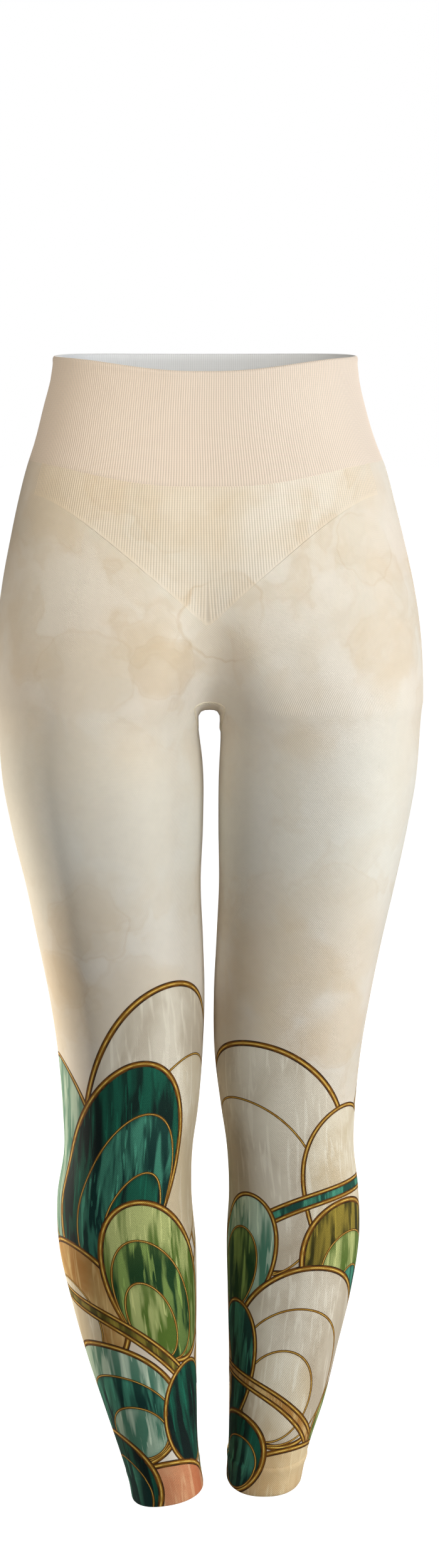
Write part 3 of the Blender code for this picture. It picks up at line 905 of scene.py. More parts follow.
print("gusset:", 2 * GUSSET_HALF_WIDTH, "mm wide, and", round(GUSSET_END - GUSSET_LOWEST, 1), "mm deep")

# %% Plain knit: the legs
BODY_CLOTH = 1.2
LEG_ROW = 5.0
PRINT_START = -505.0  # the finish changes here, above the top of the print
GUSSET_PASSED = -335.0  # above this, a leg's inner rows ease out from the gusset's edge
EASED_TO = -370.0  # and above this, the rows are evened out
EASE_ROUNDS = 60
EASE_PULL = 0.5


def leg_heights(side):
    seam = HEM[side] + CUFF_HEIGHT
    return np.linspace(LEGS_START, seam - TUCK, int((LEGS_START - seam) / LEG_ROW) + 1)


def ease_rows(points, shares, rounds):
    """Draws each point of a closed grid towards the middle of its neighbours, by its row's share."""
    for _ in range(rounds):
        ring = points[:, :-1]
        beside = (np.roll(ring, 1, axis=1) + np.roll(ring, -1, axis=1)) / 2
        middle = (beside[1:-1] + (ring[:-2] + ring[2:]) / 2) / 2
        ring[1:-1] += shares[1:-1, None, None] * (middle - ring[1:-1])
        points[:, -1] = points[:, 0]


def lay_leg(cloth, side, hip_end, edge):
    """A leg's rings from the hips' last row, closed by the gusset's edge, down to the cuff's seam."""
    outer = hip_end[HIP_RING.index(ARC[side][0]):HIP_RING.index(ARC[side][-1]) + 1]
    outer = outer if side == LEFT else outer[::-1]
    first = np.concatenate([outer, edge[::-1][1:-1]])[LEG_RING]
    nominal = leg_heights(side)
    heights = np.broadcast_to(nominal[:, None], (len(nominal), len(first))).copy()
    passed = ((LEGS_START - nominal) / (LEGS_START - GUSSET_PASSED))[:, None]
    near = (passed < 1) & INSIDE_LEG
    heights[near] = mix(first[None, :, 2], GUSSET_PASSED, passed)[near]
    found = at_heights(leg_stack[side], LEG_LEVELS, heights)
    points = found[..., :3].copy()
    points += (1 - ease(passed))[..., None] * (first - points[0])
    ease_rows(points, EASE_PULL * ease((nominal - EASED_TO) / (LEGS_START - EASED_TO)), EASE_ROUNDS)
    knit = np.dstack([found[..., 3], heights])
    run = np.dstack([found[..., 4], heights])
    creases = crease_depth(LEG_CREASES, run[..., 0], run[..., 1])
    points -= outwards(points, turn=side) * creases[..., None]
    printed = LEFT_PRINT if side == LEFT else RIGHT_PRINT
    finishes = [printed if height < PRINT_START else PLAIN for height in nominal]
    lay_sheet(cloth, points, {"knit": knit, "print": run}, finishes)


def make_knit(materials):
    """The plain knit with both legs, and the gusset with its seam."""
    cloth = new_cloth("knit", "print")
    hip_end = lay_hips(cloth)
    gusset, seam, edges = make_gusset(gusset_finishes, hip_end)
    for side in (LEFT, RIGHT):
        lay_leg(cloth, side, hip_end, edges[side])
    knit = finish_piece(cloth, "plain_knit", ["hips", "leg_left", "leg_right"], materials)
    thicken(knit, BODY_CLOTH)
    return knit, gusset, seam


print("legs:", len(leg_heights(LEFT)), "rows on the left and", len(leg_heights(RIGHT)), "on the right")

# %% [markdown]
# ## The cuffs
#
# Each ankle is turned up, and a blind hem holds it, so no stitch shows. From outside that is a groove where
# the hem pulls the cloth in, a soft ridge under it, and a rounded fold at the bottom. So the cuff is a closed
# wall laid on its leg's own rings, from a small profile.

# %% Cuffs
CUFF_CLOTH = 1.8

# down: millimetres below the cuff's top. out: how far it stands out of the leg's skin.
CUFF_OUTSIDE = ((0, -0.9), (0.1, -0.45), (0.7, -0.12), (1.8, 0.3), (3.4, 0.55), (5.4, 0.5), (8, 0.3),
                (12, 0.25), (17, 0.35), (22, 0.5), (25, 0.5), (26.3, 0.2), (26.9, -0.35), (27, -0.9))
CUFF_INSIDE = ((26.8, -1.3), (25.8, -1.7), (22, -CUFF_CLOTH), (14, -CUFF_CLOTH), (6, -CUFF_CLOTH),
               (1.0, -1.7), (0.1, -1.3), (0, -0.9))
CUFF_RELIEF = {LEFT: 2.0, RIGHT: 0.7}  # one cuff's ridge stands out well, and the other's is pressed flat


def make_cuff(side, name, materials):
    down, out = np.array(CUFF_OUTSIDE + CUFF_INSIDE).T
    out = np.where(out > 0, out * CUFF_RELIEF[side], out)
    heights = np.broadcast_to(HEM[side] + CUFF_HEIGHT - down[:, None], (len(down), LEG_RING_STEPS + 1))
    found = at_heights(leg_stack[side], LEG_LEVELS, heights)
    points, run = found[..., :3], found[..., 4]
    points = points + outwards(points, turn=side) * out[:, None, None]
    cloth = new_cloth("knit", "print")
    inside = [0] * len(CUFF_OUTSIDE) + [1] * len(CUFF_INSIDE)
    maps = {"knit": np.dstack([side * run, heights]), "print": np.dstack([run, heights])}
    lay_sheet(cloth, points, maps, inside)
    return finish_piece(cloth, name + "_knit", [name], materials)


print("cuffs:", CUFF_HEIGHT, "mm high, with", len(CUFF_OUTSIDE) + len(CUFF_INSIDE), "rows round the fold")

# %% [markdown]
# ## Finishes
#
# Every finish here is a node tree that is written in code. A few short helpers keep that readable: one puts a
# value or another node's output into a socket, and the rest each add one node. An effect that several
# finishes share is a node group, built once. Colours are named by how they look on a screen.

# %% Colours and values
def linear(red, green, blue):
    """A screen colour, 0 to 255 a channel, as the linear light that a shader counts in."""
    screen = np.array((red, green, blue)) / 255
    light = np.where(screen <= 0.04045, screen / 12.92, ((screen + 0.055) / 1.055) ** 2.4)
    return (*light.tolist(), 1.0)


def put(tree, socket, value):
    """Sets a socket to a value, or links it to another node's output."""
    if isinstance(value, bpy.types.NodeSocket):
        tree.links.new(value, socket)
    else:
        socket.default_value = value


print("middle grey in linear light:", round(linear(128, 128, 128)[0], 3))


# %% Nodes
def calc(tree, operation, *values, clamp=False):
    node = tree.nodes.new("ShaderNodeMath")
    node.operation = operation
    node.use_clamp = clamp
    for socket, value in zip(node.inputs, values):
        put(tree, socket, value)
    return node.outputs[0]


def vector_calc(tree, operation, *values):
    node = tree.nodes.new("ShaderNodeVectorMath")
    node.operation = operation
    for socket, value in zip(node.inputs, values):
        put(tree, socket, value)
    return node.outputs["Value" if operation in ("LENGTH", "DISTANCE") else "Vector"]


def parts(tree, vector):
    """A vector's X, Y and Z."""
    node = tree.nodes.new("ShaderNodeSeparateXYZ")
    put(tree, node.inputs[0], vector)
    return node.outputs


def blend(tree, share, under, over, how="MIX"):
    node = tree.nodes.new("ShaderNodeMix")
    node.data_type = "RGBA"
    node.blend_type = how
    for socket, value in zip((node.inputs["Factor"], node.inputs[6], node.inputs[7]), (share, under, over)):
        put(tree, socket, value)
    return node.outputs[2]


def between(tree, value, low, high, first=0.0, last=1.0):
    """Eases from first to last while a value goes from low to high."""
    node = tree.nodes.new("ShaderNodeMapRange")
    node.interpolation_type = "SMOOTHSTEP"
    for socket, given in zip(node.inputs, (value, low, high, first, last)):
        put(tree, socket, given)
    return node.outputs[0]


def noise(tree, place, scale, detail=2.0, roughness=0.5, distortion=0.0):
    node = tree.nodes.new("ShaderNodeTexNoise")
    for name, value in (("Vector", place), ("Scale", scale), ("Detail", detail), ("Roughness", roughness),
                        ("Distortion", distortion)):
        put(tree, node.inputs[name], value)
    return node.outputs[0]


def turned(tree, place, turn, scale=(1, 1, 1), move=(0, 0, 0)):
    """A place turned about Z by an angle in degrees, then scaled, then moved."""
    node = tree.nodes.new("ShaderNodeMapping")
    put(tree, node.inputs["Vector"], place)
    node.inputs["Rotation"].default_value = (0, 0, np.radians(turn))
    node.inputs["Scale"].default_value = scale
    node.inputs["Location"].default_value = move
    return node.outputs[0]


# %% Groups and materials
def start_group(name, inputs, outputs):
    """A new node group. Each input is a name, a kind and a value, and each output is a name and a kind."""
    group = bpy.data.node_groups.new(name, "ShaderNodeTree")
    for label, kind, value in inputs:
        socket = group.interface.new_socket(label, in_out="INPUT", socket_type="NodeSocket" + kind)
        socket.default_value = value
    for label, kind in outputs:
        group.interface.new_socket(label, in_out="OUTPUT", socket_type="NodeSocket" + kind)
    given = group.nodes.new("NodeGroupInput").outputs
    result = group.nodes.new("NodeGroupOutput").inputs
    return group, given, result


def use(tree, group, **values):
    """Places a group in a tree, with its inputs by name."""
    node = tree.nodes.new("ShaderNodeGroup")
    node.node_tree = group
    for label, value in values.items():
        put(tree, node.inputs[label], value)
    return node.outputs


def start_material(name):
    """A new material. Returns it with its tree and its shader."""
    material = bpy.data.materials.new(name)
    material.use_nodes = True
    tree = material.node_tree
    return material, tree, tree.nodes["Principled BSDF"]


def map_of(tree, name):
    """One of the piece's own maps, which count millimetres of cloth."""
    node = tree.nodes.new("ShaderNodeUVMap")
    node.uv_map = name
    return node.outputs[0]


def object_place(tree):
    return tree.nodes.new("ShaderNodeTexCoord").outputs["Object"]


# %% Shade, relief and gloss
def press(tree, shader, height, depth):
    """Relief on a shader, from a height of 0 to 1 and its real depth in millimetres."""
    bump = tree.nodes.new("ShaderNodeBump")
    put(tree, bump.inputs["Height"], height)
    bump.inputs["Distance"].default_value = depth * MM
    tree.links.new(bump.outputs[0], shader.inputs["Normal"])


def shaded(tree, colour, shade):
    """A colour times a shade."""
    return blend(tree, 1.0, colour, shade, "MULTIPLY")


def as_cloth(shader, roughness=0.82, sheen=0.18):
    """The numbers that are the same all over a knitted cloth."""
    shader.inputs["Roughness"].default_value = roughness
    shader.inputs["Specular IOR Level"].default_value = 0.25
    shader.inputs["Sheen Weight"].default_value = sheen
    shader.inputs["Sheen Roughness"].default_value = 0.45


def complete(material, colour, relief=None, depth=0.0, **gloss):
    """Gives a started material its colour, its gloss as cloth, and a relief of so many millimetres."""
    tree = material.node_tree
    shader = tree.nodes["Principled BSDF"]
    put(tree, shader.inputs["Base Color"], colour)
    as_cloth(shader, **gloss)
    if relief is not None:
        press(tree, shader, relief, depth)
    return material


# %% [markdown]
# ## The plain part's colour: watercolour clouds
#
# The cloth is dyed cream, and over it lie pale washes of sand, ochre and blush, as wet paint spreads on
# paper. Each wash is a level cut through soft noise. Its edge is a little darker, because pigment gathers
# where a wash dries. A few larger blooms are placed one by one, so that no side of the garment is empty.

# %% Dyes, and where they lie
CREAM = linear(243, 233, 218)
PALE_CREAM = linear(242, 236, 223)
SAND_WASH = linear(234, 217, 192)
BLUSH_WASH = linear(239, 224, 206)
GREY_WASH = linear(222, 218, 204)
OCHRE_WASH = linear(224, 197, 158)
DRY_EDGE = linear(206, 174, 128)

MOTTLE = (linear(246, 246, 246), linear(255, 255, 255))

FADE_BELOW, FADE_ABOVE = 0.1, 0.14  # a wash fades in from this far below its level to this far above it
DRY_WIDTH = 0.035  # its dry edge is this wide on either side of the level
WANDER_SCALE, WANDER = 34, 0.018  # how finely, and how many metres, the washes are drawn aside
THIGH_TOP, THIGH_END = (-0.26, -0.36), (-0.52, -0.4)  # the dye pales from each first height to its second

# turn, move, scale and distortion: of the soft noise. level: where the wash is cut through it. strength and
# edge: how strong its colour and its dry edge are.
Wash = namedtuple("Wash", "turn move scale distortion level colour strength edge")
WASHES = (
    Wash(0, (0, 0, 0), 9.5, 0.2, 0.53, SAND_WASH, 0.55, 0.08),
    Wash(40, (3, 1, 7), 17, 0.4, 0.56, OCHRE_WASH, 0.34, 0.13),
    Wash(80, (8, 5, 2), 12, 0.3, 0.57, GREY_WASH, 0.3, 0.05),
)

# middle and radius in millimetres, and how strong the colour and its dry edge are
Bloom = namedtuple("Bloom", "x y z radius colour strength edge")
BLOOMS = (
    Bloom(128, -72, -158, 27, SAND_WASH, 0.35, 0.18),
    Bloom(-34, -100, -252, 26, OCHRE_WASH, 0.36, 0.12),
    Bloom(14, -106, -212, 38, SAND_WASH, 0.14, 0.28),
    Bloom(-100, -88, -262, 40, SAND_WASH, 0.45, 0.12),
    Bloom(-62, -95, -372, 58, SAND_WASH, 0.50, 0.15),
    Bloom(-96, -78, -470, 34, OCHRE_WASH, 0.28, 0.18),
    Bloom(106, -62, -455, 40, SAND_WASH, 0.45, 0.16),
    Bloom(60, -72, -512, 52, OCHRE_WASH, 0.40, 0.14),
    Bloom(-54, -76, -548, 46, SAND_WASH, 0.60, 0.12),
    Bloom(-112, -50, -520, 30, OCHRE_WASH, 0.40, 0.14),
    Bloom(104, -48, -572, 38, OCHRE_WASH, 0.34, 0.14),
    Bloom(34, -78, -590, 40, SAND_WASH, 0.55, 0.10),
    Bloom(-8, -104, -120, 44, SAND_WASH, 0.40, 0.10),
    Bloom(-108, -60, -118, 40, SAND_WASH, 0.55, 0.10),
    Bloom(-70, 108, -210, 60, SAND_WASH, 0.50, 0.20),
    Bloom(84, 112, -330, 54, OCHRE_WASH, 0.30, 0.20),
    Bloom(-90, 84, -440, 50, BLUSH_WASH, 0.50, 0.20),
    Bloom(172, 10, -300, 50, SAND_WASH, 0.50, 0.18),
    Bloom(-170, 20, -360, 56, SAND_WASH, 0.45, 0.18),
)
print(len(WASHES), "washes and", len(BLOOMS), "blooms")


# %% Watercolour group
def lay_wash(tree, under, value, level, dye, patches):
    """Lays a wash or a bloom where a value is above a level. There it has a darker dry edge, in patches."""
    body = between(tree, value, level - FADE_BELOW, level + FADE_ABOVE)
    washed = blend(tree, calc(tree, "MULTIPLY", body, dye.strength), under, dye.colour)
    off_edge = calc(tree, "ABSOLUTE", calc(tree, "SUBTRACT", value, level))
    dried = calc(tree, "MULTIPLY", between(tree, off_edge, DRY_WIDTH, 0.0), dye.edge)
    return blend(tree, calc(tree, "MULTIPLY", dried, patches), washed, DRY_EDGE)


def wandered(tree, place):
    """The place drawn aside by noise, so that no edge of a wash runs smooth."""
    wander = tree.nodes.new("ShaderNodeTexNoise")
    put(tree, wander.inputs["Vector"], place)
    wander.inputs["Scale"].default_value = WANDER_SCALE
    wander.inputs["Detail"].default_value = 4
    pull = vector_calc(tree, "SCALE", vector_calc(tree, "SUBTRACT", wander.outputs["Color"], (0.5, 0.5, 0.5)))
    pull.node.inputs["Scale"].default_value = WANDER
    return vector_calc(tree, "ADD", place, pull)


def thigh_share(tree, place):
    """1 at the middle of the thighs, and 0 at the hips and from the knees down."""
    height = parts(tree, place)[2]
    return calc(tree, "MULTIPLY", between(tree, height, *THIGH_TOP), between(tree, height, *THIGH_END))


def make_watercolour():
    tree, given, result = start_group("watercolour", [("Place", "Vector", (0, 0, 0))], [("Colour", "Color")])
    place = wandered(tree, given["Place"])
    patches = between(tree, noise(tree, turned(tree, place, 0, move=(1, 6, 4)), 8, 2), 0.44, 0.6)
    on_thigh = thigh_share(tree, place)
    cream = blend(tree, on_thigh, CREAM, PALE_CREAM)
    blush = calc(tree, "MULTIPLY", between(tree, noise(tree, place, 5, 3), 0.35, 0.7),
                 between(tree, on_thigh, 0.0, 1.0, 1.0, 0.3))
    colour = blend(tree, blush, cream, BLUSH_WASH)
    for wash in WASHES:
        moved = turned(tree, place, wash.turn, move=wash.move)
        field = noise(tree, moved, wash.scale, 3, 0.5, wash.distortion)
        colour = lay_wash(tree, colour, field, wash.level, wash, patches)
    ragged = calc(tree, "MULTIPLY_ADD", noise(tree, place, 22, 2, 0.5), 1.1, -0.55)
    for bloom in BLOOMS:
        middle = (bloom.x * MM, bloom.y * MM, bloom.z * MM)
        near = calc(tree, "DIVIDE", vector_calc(tree, "DISTANCE", place, middle), bloom.radius * MM)
        near = between(tree, calc(tree, "ADD", near, ragged), 1.5, 0.5, 0.3, 0.7)
        colour = lay_wash(tree, colour, near, 0.5, bloom, patches)
    colour = blend(tree, calc(tree, "MULTIPLY", on_thigh, 0.5), colour, cream)
    put(tree, result["Colour"], shaded(tree, colour, blend(tree, noise(tree, place, 120, 3, 0.6), *MOTTLE)))
    return tree


watercolour = make_watercolour()
print("watercolour:", len(watercolour.nodes), "nodes")

# %% [markdown]
# ## The knit's own lines
#
# Close up, fine stretch knit shows slanting lines, which are the legs of its stitches. They are too small to
# model, at under two millimetres, so a group works them out from the piece's map and gives a height, and a
# painted shade that darkens the cloth between the lines. The bump node that uses the height is in each
# finish.

# %% Knit line group
LINE_PITCH = 1.6
GUSSET_LINE_PITCH = 1.3


def make_knit_lines():
    inputs = [("Knit", "Vector", (0, 0, 0)), ("Pitch", "Float", LINE_PITCH)]
    tree, given, result = start_group("knit lines", inputs, [("Height", "Float"), ("Shade", "Float")])
    across, down, _ = parts(tree, given["Knit"])
    turn = calc(tree, "DIVIDE", 2 * np.pi, given["Pitch"])
    slant = calc(tree, "SINE", calc(tree, "MULTIPLY", calc(tree, "ADD", across, down), turn))
    cross = calc(tree, "SINE", calc(tree, "MULTIPLY", calc(tree, "SUBTRACT", across, down), turn))
    line = calc(tree, "MULTIPLY_ADD", slant, 0.5, 0.5)
    stitch = calc(tree, "MULTIPLY_ADD", cross, 0.15, 0.85)
    put(tree, result["Height"], calc(tree, "MULTIPLY", line, stitch))
    # Shade is painted shade: the colour is darker between the lines.
    put(tree, result["Shade"], calc(tree, "MULTIPLY_ADD", line, 0.1, 0.91))
    return tree


knit_lines = make_knit_lines()
print("knit lines:", len(knit_lines.nodes), "nodes")

# %% [markdown]
# ## The print on the lower legs
#
# The lower legs carry a print in the manner of leaded glass. Its motif is a generic one: overlapping round
# panes, one inside another and off centre like the rings of an agate, with curved ribbons between them. One
# group paints one pane over whatever is under it, so a table of panes, from the lowest to the topmost, makes
# the whole print. It is printed on flat cloth, so it is only colour, with no relief.
#
# The renderer has little working space for one material, and it would work out all the panes side by side.
# So each pane hands its place on to the next with an invisible trace of its own colour. That puts them in
# line.

# %% Pane group
LEAD_STOPS = ((0.0, linear(26, 14, 2)), (0.2, linear(58, 32, 4)), (0.36, linear(156, 100, 14)),
              (0.5, linear(252, 216, 112)), (0.62, linear(180, 120, 22)), (0.8, linear(66, 38, 4)),
              (1.0, linear(26, 14, 2)))
EDGE_SHADE, EDGE_DEPTH = 4.5, 0.45  # a pane is deeper this near to its lead, in millimetres, by this share
GLASS_START, GLASS_RISE = 0.38, 0.22  # a pane's light at its middle, and how much it grows to its top
DULL_LEAD = linear(132, 82, 10)
TRACE = 1e-5
FULL = 1000.0  # a band this wide fills its pane


def make_pane():
    """Distances are in millimetres of cloth. Band is a ribbon's width."""
    inputs = [("Under", "Color", (1, 1, 1, 1)), ("Place", "Vector", (0, 0, 0)),
              ("Middle", "Vector", (0, 0, 0)), ("Size", "Vector", (1, 1, 1)), ("Turn", "Float", 0.0),
              ("Deep", "Color", (0, 0, 0, 1)), ("Light", "Color", (1, 1, 1, 1)), ("Strokes", "Float", 0.5),
              ("Contrast", "Float", 1.0), ("Band", "Float", FULL), ("Lead", "Float", 1.9),
              ("Glint", "Float", 0.5)]
    tree, given, result = start_group("pane", inputs, [("Colour", "Color"), ("Place", "Vector")])
    turn = tree.nodes.new("ShaderNodeVectorRotate")
    turn.rotation_type = "Z_AXIS"
    put(tree, turn.inputs["Vector"], vector_calc(tree, "SUBTRACT", given["Place"], given["Middle"]))
    put(tree, turn.inputs["Angle"], given["Turn"])
    shares = vector_calc(tree, "DIVIDE", turn.outputs[0], given["Size"])
    reach = vector_calc(tree, "LENGTH", shares)
    slope = vector_calc(tree, "LENGTH", vector_calc(tree, "DIVIDE", shares, given["Size"]))
    away = calc(tree, "DIVIDE", calc(tree, "MULTIPLY", reach, calc(tree, "SUBTRACT", reach, 1.0)), slope)
    half_band = calc(tree, "MULTIPLY", given["Band"], 0.5)
    edge = calc(tree, "SUBTRACT", calc(tree, "ABSOLUTE", calc(tree, "ADD", away, half_band)), half_band)

    height = calc(tree, "MULTIPLY_ADD", parts(tree, shares)[1], GLASS_RISE, GLASS_START)
    stroke = calc(tree, "MULTIPLY", calc(tree, "SUBTRACT", given["Strokes"], 0.5), given["Contrast"])
    glass = blend(tree, calc(tree, "ADD", height, stroke, clamp=True), given["Deep"], given["Light"])
    glass = blend(tree, between(tree, edge, -EDGE_SHADE, 0.0, 0.0, EDGE_DEPTH), glass, given["Deep"])
    colour = blend(tree, between(tree, edge, 0.15, -0.15), given["Under"], glass)

    across = calc(tree, "DIVIDE", edge, given["Lead"])
    ramp = tree.nodes.new("ShaderNodeValToRGB")
    put(tree, ramp.inputs[0], calc(tree, "MULTIPLY_ADD", across, 0.5, 0.5))
    stops = ramp.color_ramp.elements
    while len(stops) < len(LEAD_STOPS):
        stops.new(0.5)
    for stop, (position, shade) in zip(stops, LEAD_STOPS):
        stop.position = position
        stop.color = shade
    metal = blend(tree, between(tree, given["Glint"], 0.42, 0.62, 0.0, 0.5), ramp.outputs[0], DULL_LEAD)
    width = calc(tree, "ABSOLUTE", across)
    painted = blend(tree, between(tree, width, 1.0, 0.86), colour, metal)
    put(tree, result["Colour"], painted)
    trace = vector_calc(tree, "MULTIPLY", painted, (TRACE, TRACE, TRACE))
    put(tree, result["Place"], vector_calc(tree, "ADD", given["Place"], trace))
    return tree


# %% Brushwork group
def make_brushwork():
    """Soft fields that the panes share: two ways of brush strokes, cloudy frost, and glints on the lead."""
    outputs = [("Rising", "Float"), ("Falling", "Float"), ("Frost", "Float"), ("Glint", "Float")]
    tree, given, result = start_group("brushwork", [("Print", "Vector", (0, 0, 0))], outputs)
    place = given["Print"]
    for name, turn, move in (("Rising", 24, 3), ("Falling", -42, 11)):
        broad = noise(tree, turned(tree, place, turn, (0.11, 0.014, 1), (move, 0, 0)), 1, 2, 0.5, 0.5)
        thin = noise(tree, turned(tree, place, turn + 7, (0.3, 0.024, 1), (move, 5, 0)), 1, 2, 0.5, 0.3)
        light = between(tree, thin, 0.6, 0.64, 0.0, 0.5)
        put(tree, result[name], calc(tree, "ADD", between(tree, broad, 0.4, 0.6, 0.05, 0.7), light))
    cloud = noise(tree, turned(tree, place, 30, (0.022, 0.011, 1)), 1, 4, 0.55, 0.6)
    feather = noise(tree, turned(tree, place, 64, (0.2, 0.02, 1), (7, 3, 0)), 1, 2, 0.5, 0.6)
    feather = between(tree, feather, 0.54, 0.66, 0.0, 0.45)
    put(tree, result["Frost"], calc(tree, "ADD", between(tree, cloud, 0.3, 0.7, 0.0, 0.85), feather))
    put(tree, result["Glint"], noise(tree, place, 0.11, 1))
    return tree


pane_group = make_pane()
brushwork = make_brushwork()
print("pane:", len(pane_group.nodes), "nodes")

# %% [markdown]
# ## The panes of each leg
#
# A glass painter starts from a drawing of the lead lines, and here that drawing is a table. Places count
# millimetres round the leg from the middle of its front, and down from the waist. The two legs get different
# drawings: more deep green on the right one, and more pearl on the left one.

# %% Colours of the glass, each from its deep to its light shade
GREEN = (linear(0, 24, 20), linear(22, 104, 80))
TEAL = (linear(0, 48, 42), linear(78, 156, 128))
LEAF_GREEN = (linear(24, 62, 24), linear(150, 176, 92))
SPRING = (linear(84, 110, 36), linear(208, 212, 138))
SAGE = (linear(78, 128, 104), linear(212, 228, 202))
OLIVE = (linear(56, 52, 6), linear(168, 146, 56))
OCHRE = (linear(172, 114, 40), linear(236, 204, 140))
SAND = (linear(206, 164, 108), linear(240, 218, 176))
PEACH = (linear(200, 114, 72), linear(240, 190, 144))
PEARL = (linear(198, 182, 158), linear(240, 230, 210))
IVORY = (linear(212, 192, 158), linear(246, 236, 214))

# %% Panes of the right leg
THICK, MEDIUM, THIN = 3.0, 2.3, 1.2

# wide and tall: half the pane's size each way. band: a ribbon's width, or 0 for a line of lead alone. A row
# leaves out what it has in common with most.
Pane = namedtuple("Pane", "across down wide tall turn glass strokes contrast band lead",
                  defaults=(0.9, FULL, MEDIUM))
RIGHT_PANES = (
    Pane(196, -764, 50, 92, 8, PEARL, "Frost"),
    Pane(240, -730, 46, 84, -10, SAGE, "Rising"),
    Pane(236, -750, 31, 58, -10, SPRING, "Falling", lead=THIN),
    Pane(236, -800, 120, 150, 0, LEAF_GREEN, "Rising", band=10),
    Pane(226, -840, 48, 62, 10, TEAL, "Falling"),
    Pane(222, -854, 32, 43, 10, GREEN, "Falling", 1.0, lead=THIN),
    Pane(172, -872, 46, 60, -6, SPRING, "Rising"),
    Pane(236, -916, 44, 50, 0, OCHRE, "Frost"),
    Pane(168, -944, 44, 50, -8, SAGE, "Rising"),
    Pane(208, -974, 40, 44, 6, LEAF_GREEN, "Falling"),
    Pane(158, -1000, 40, 34, 0, PEACH, "Frost"),
    Pane(128, -690, 62, 120, 10, SAGE, "Falling", 0.8),
    Pane(142, -722, 44, 84, 10, SPRING, "Falling", 0.8, lead=THIN),
    Pane(-132, -694, 60, 112, -8, IVORY, "Frost", 0.8),
    Pane(-34, -646, 74, 122, -10, PEARL, "Frost", lead=THICK),
    Pane(-52, -682, 56, 92, -12, IVORY, "Frost", 0.8, lead=THIN),
    Pane(70, -682, 46, 88, 14, SAGE, "Falling"),
    Pane(8, -694, 52, 104, -16, GREEN, "Rising", 1.0, lead=THICK),
    Pane(0, -716, 38, 80, -16, TEAL, "Rising", 1.1, lead=THIN),
    Pane(-7, -740, 23, 50, -16, GREEN, "Falling", 1.0, lead=THIN),
    Pane(126, -812, 58, 66, 0, TEAL, "Falling"),
    Pane(122, -828, 40, 46, 0, SAGE, "Falling", lead=THIN),
    Pane(-126, -818, 58, 72, 0, PEARL, "Frost"),
    Pane(60, -822, 56, 62, 6, OCHRE, "Frost", lead=THICK),
    Pane(68, -838, 38, 43, 6, IVORY, "Frost", lead=THIN),
    Pane(-28, -792, 46, 76, 18, SPRING, "Falling", 1.0, lead=THICK),
    Pane(-22, -808, 33, 57, 18, LEAF_GREEN, "Falling", 1.1, lead=THIN),
    Pane(-17, -826, 20, 36, 18, SPRING, "Rising", 1.0, lead=THIN),
    Pane(-104, -906, 48, 62, 0, OCHRE, "Frost", 0.8),
    Pane(112, -912, 44, 56, 0, LEAF_GREEN, "Rising"),
    Pane(92, -962, 158, 158, 0, OLIVE, "Rising", band=9),
    Pane(30, -904, 60, 54, -14, SAGE, "Rising", 1.1, lead=THICK),
    Pane(22, -916, 44, 38, -14, TEAL, "Rising", 1.1, lead=THIN),
    Pane(12, -928, 26, 23, -14, SAGE, "Rising", 1.1, lead=THIN),
    Pane(-44, -918, 30, 50, -10, GREEN, "Falling", 1.0),
    Pane(-88, -976, 36, 34, 0, SAGE, "Falling"),
    Pane(78, -978, 42, 36, 0, SAND, "Frost"),
    Pane(-6, -1004, 56, 46, 0, PEACH, "Frost", lead=THICK),
    Pane(38, -972, 34, 42, 24, GREEN, "Falling", 1.0, lead=THICK),
    Pane(34, -980, 22, 29, 24, TEAL, "Falling", 1.0, lead=THIN),
)
print(len(RIGHT_PANES), "panes on the right leg")

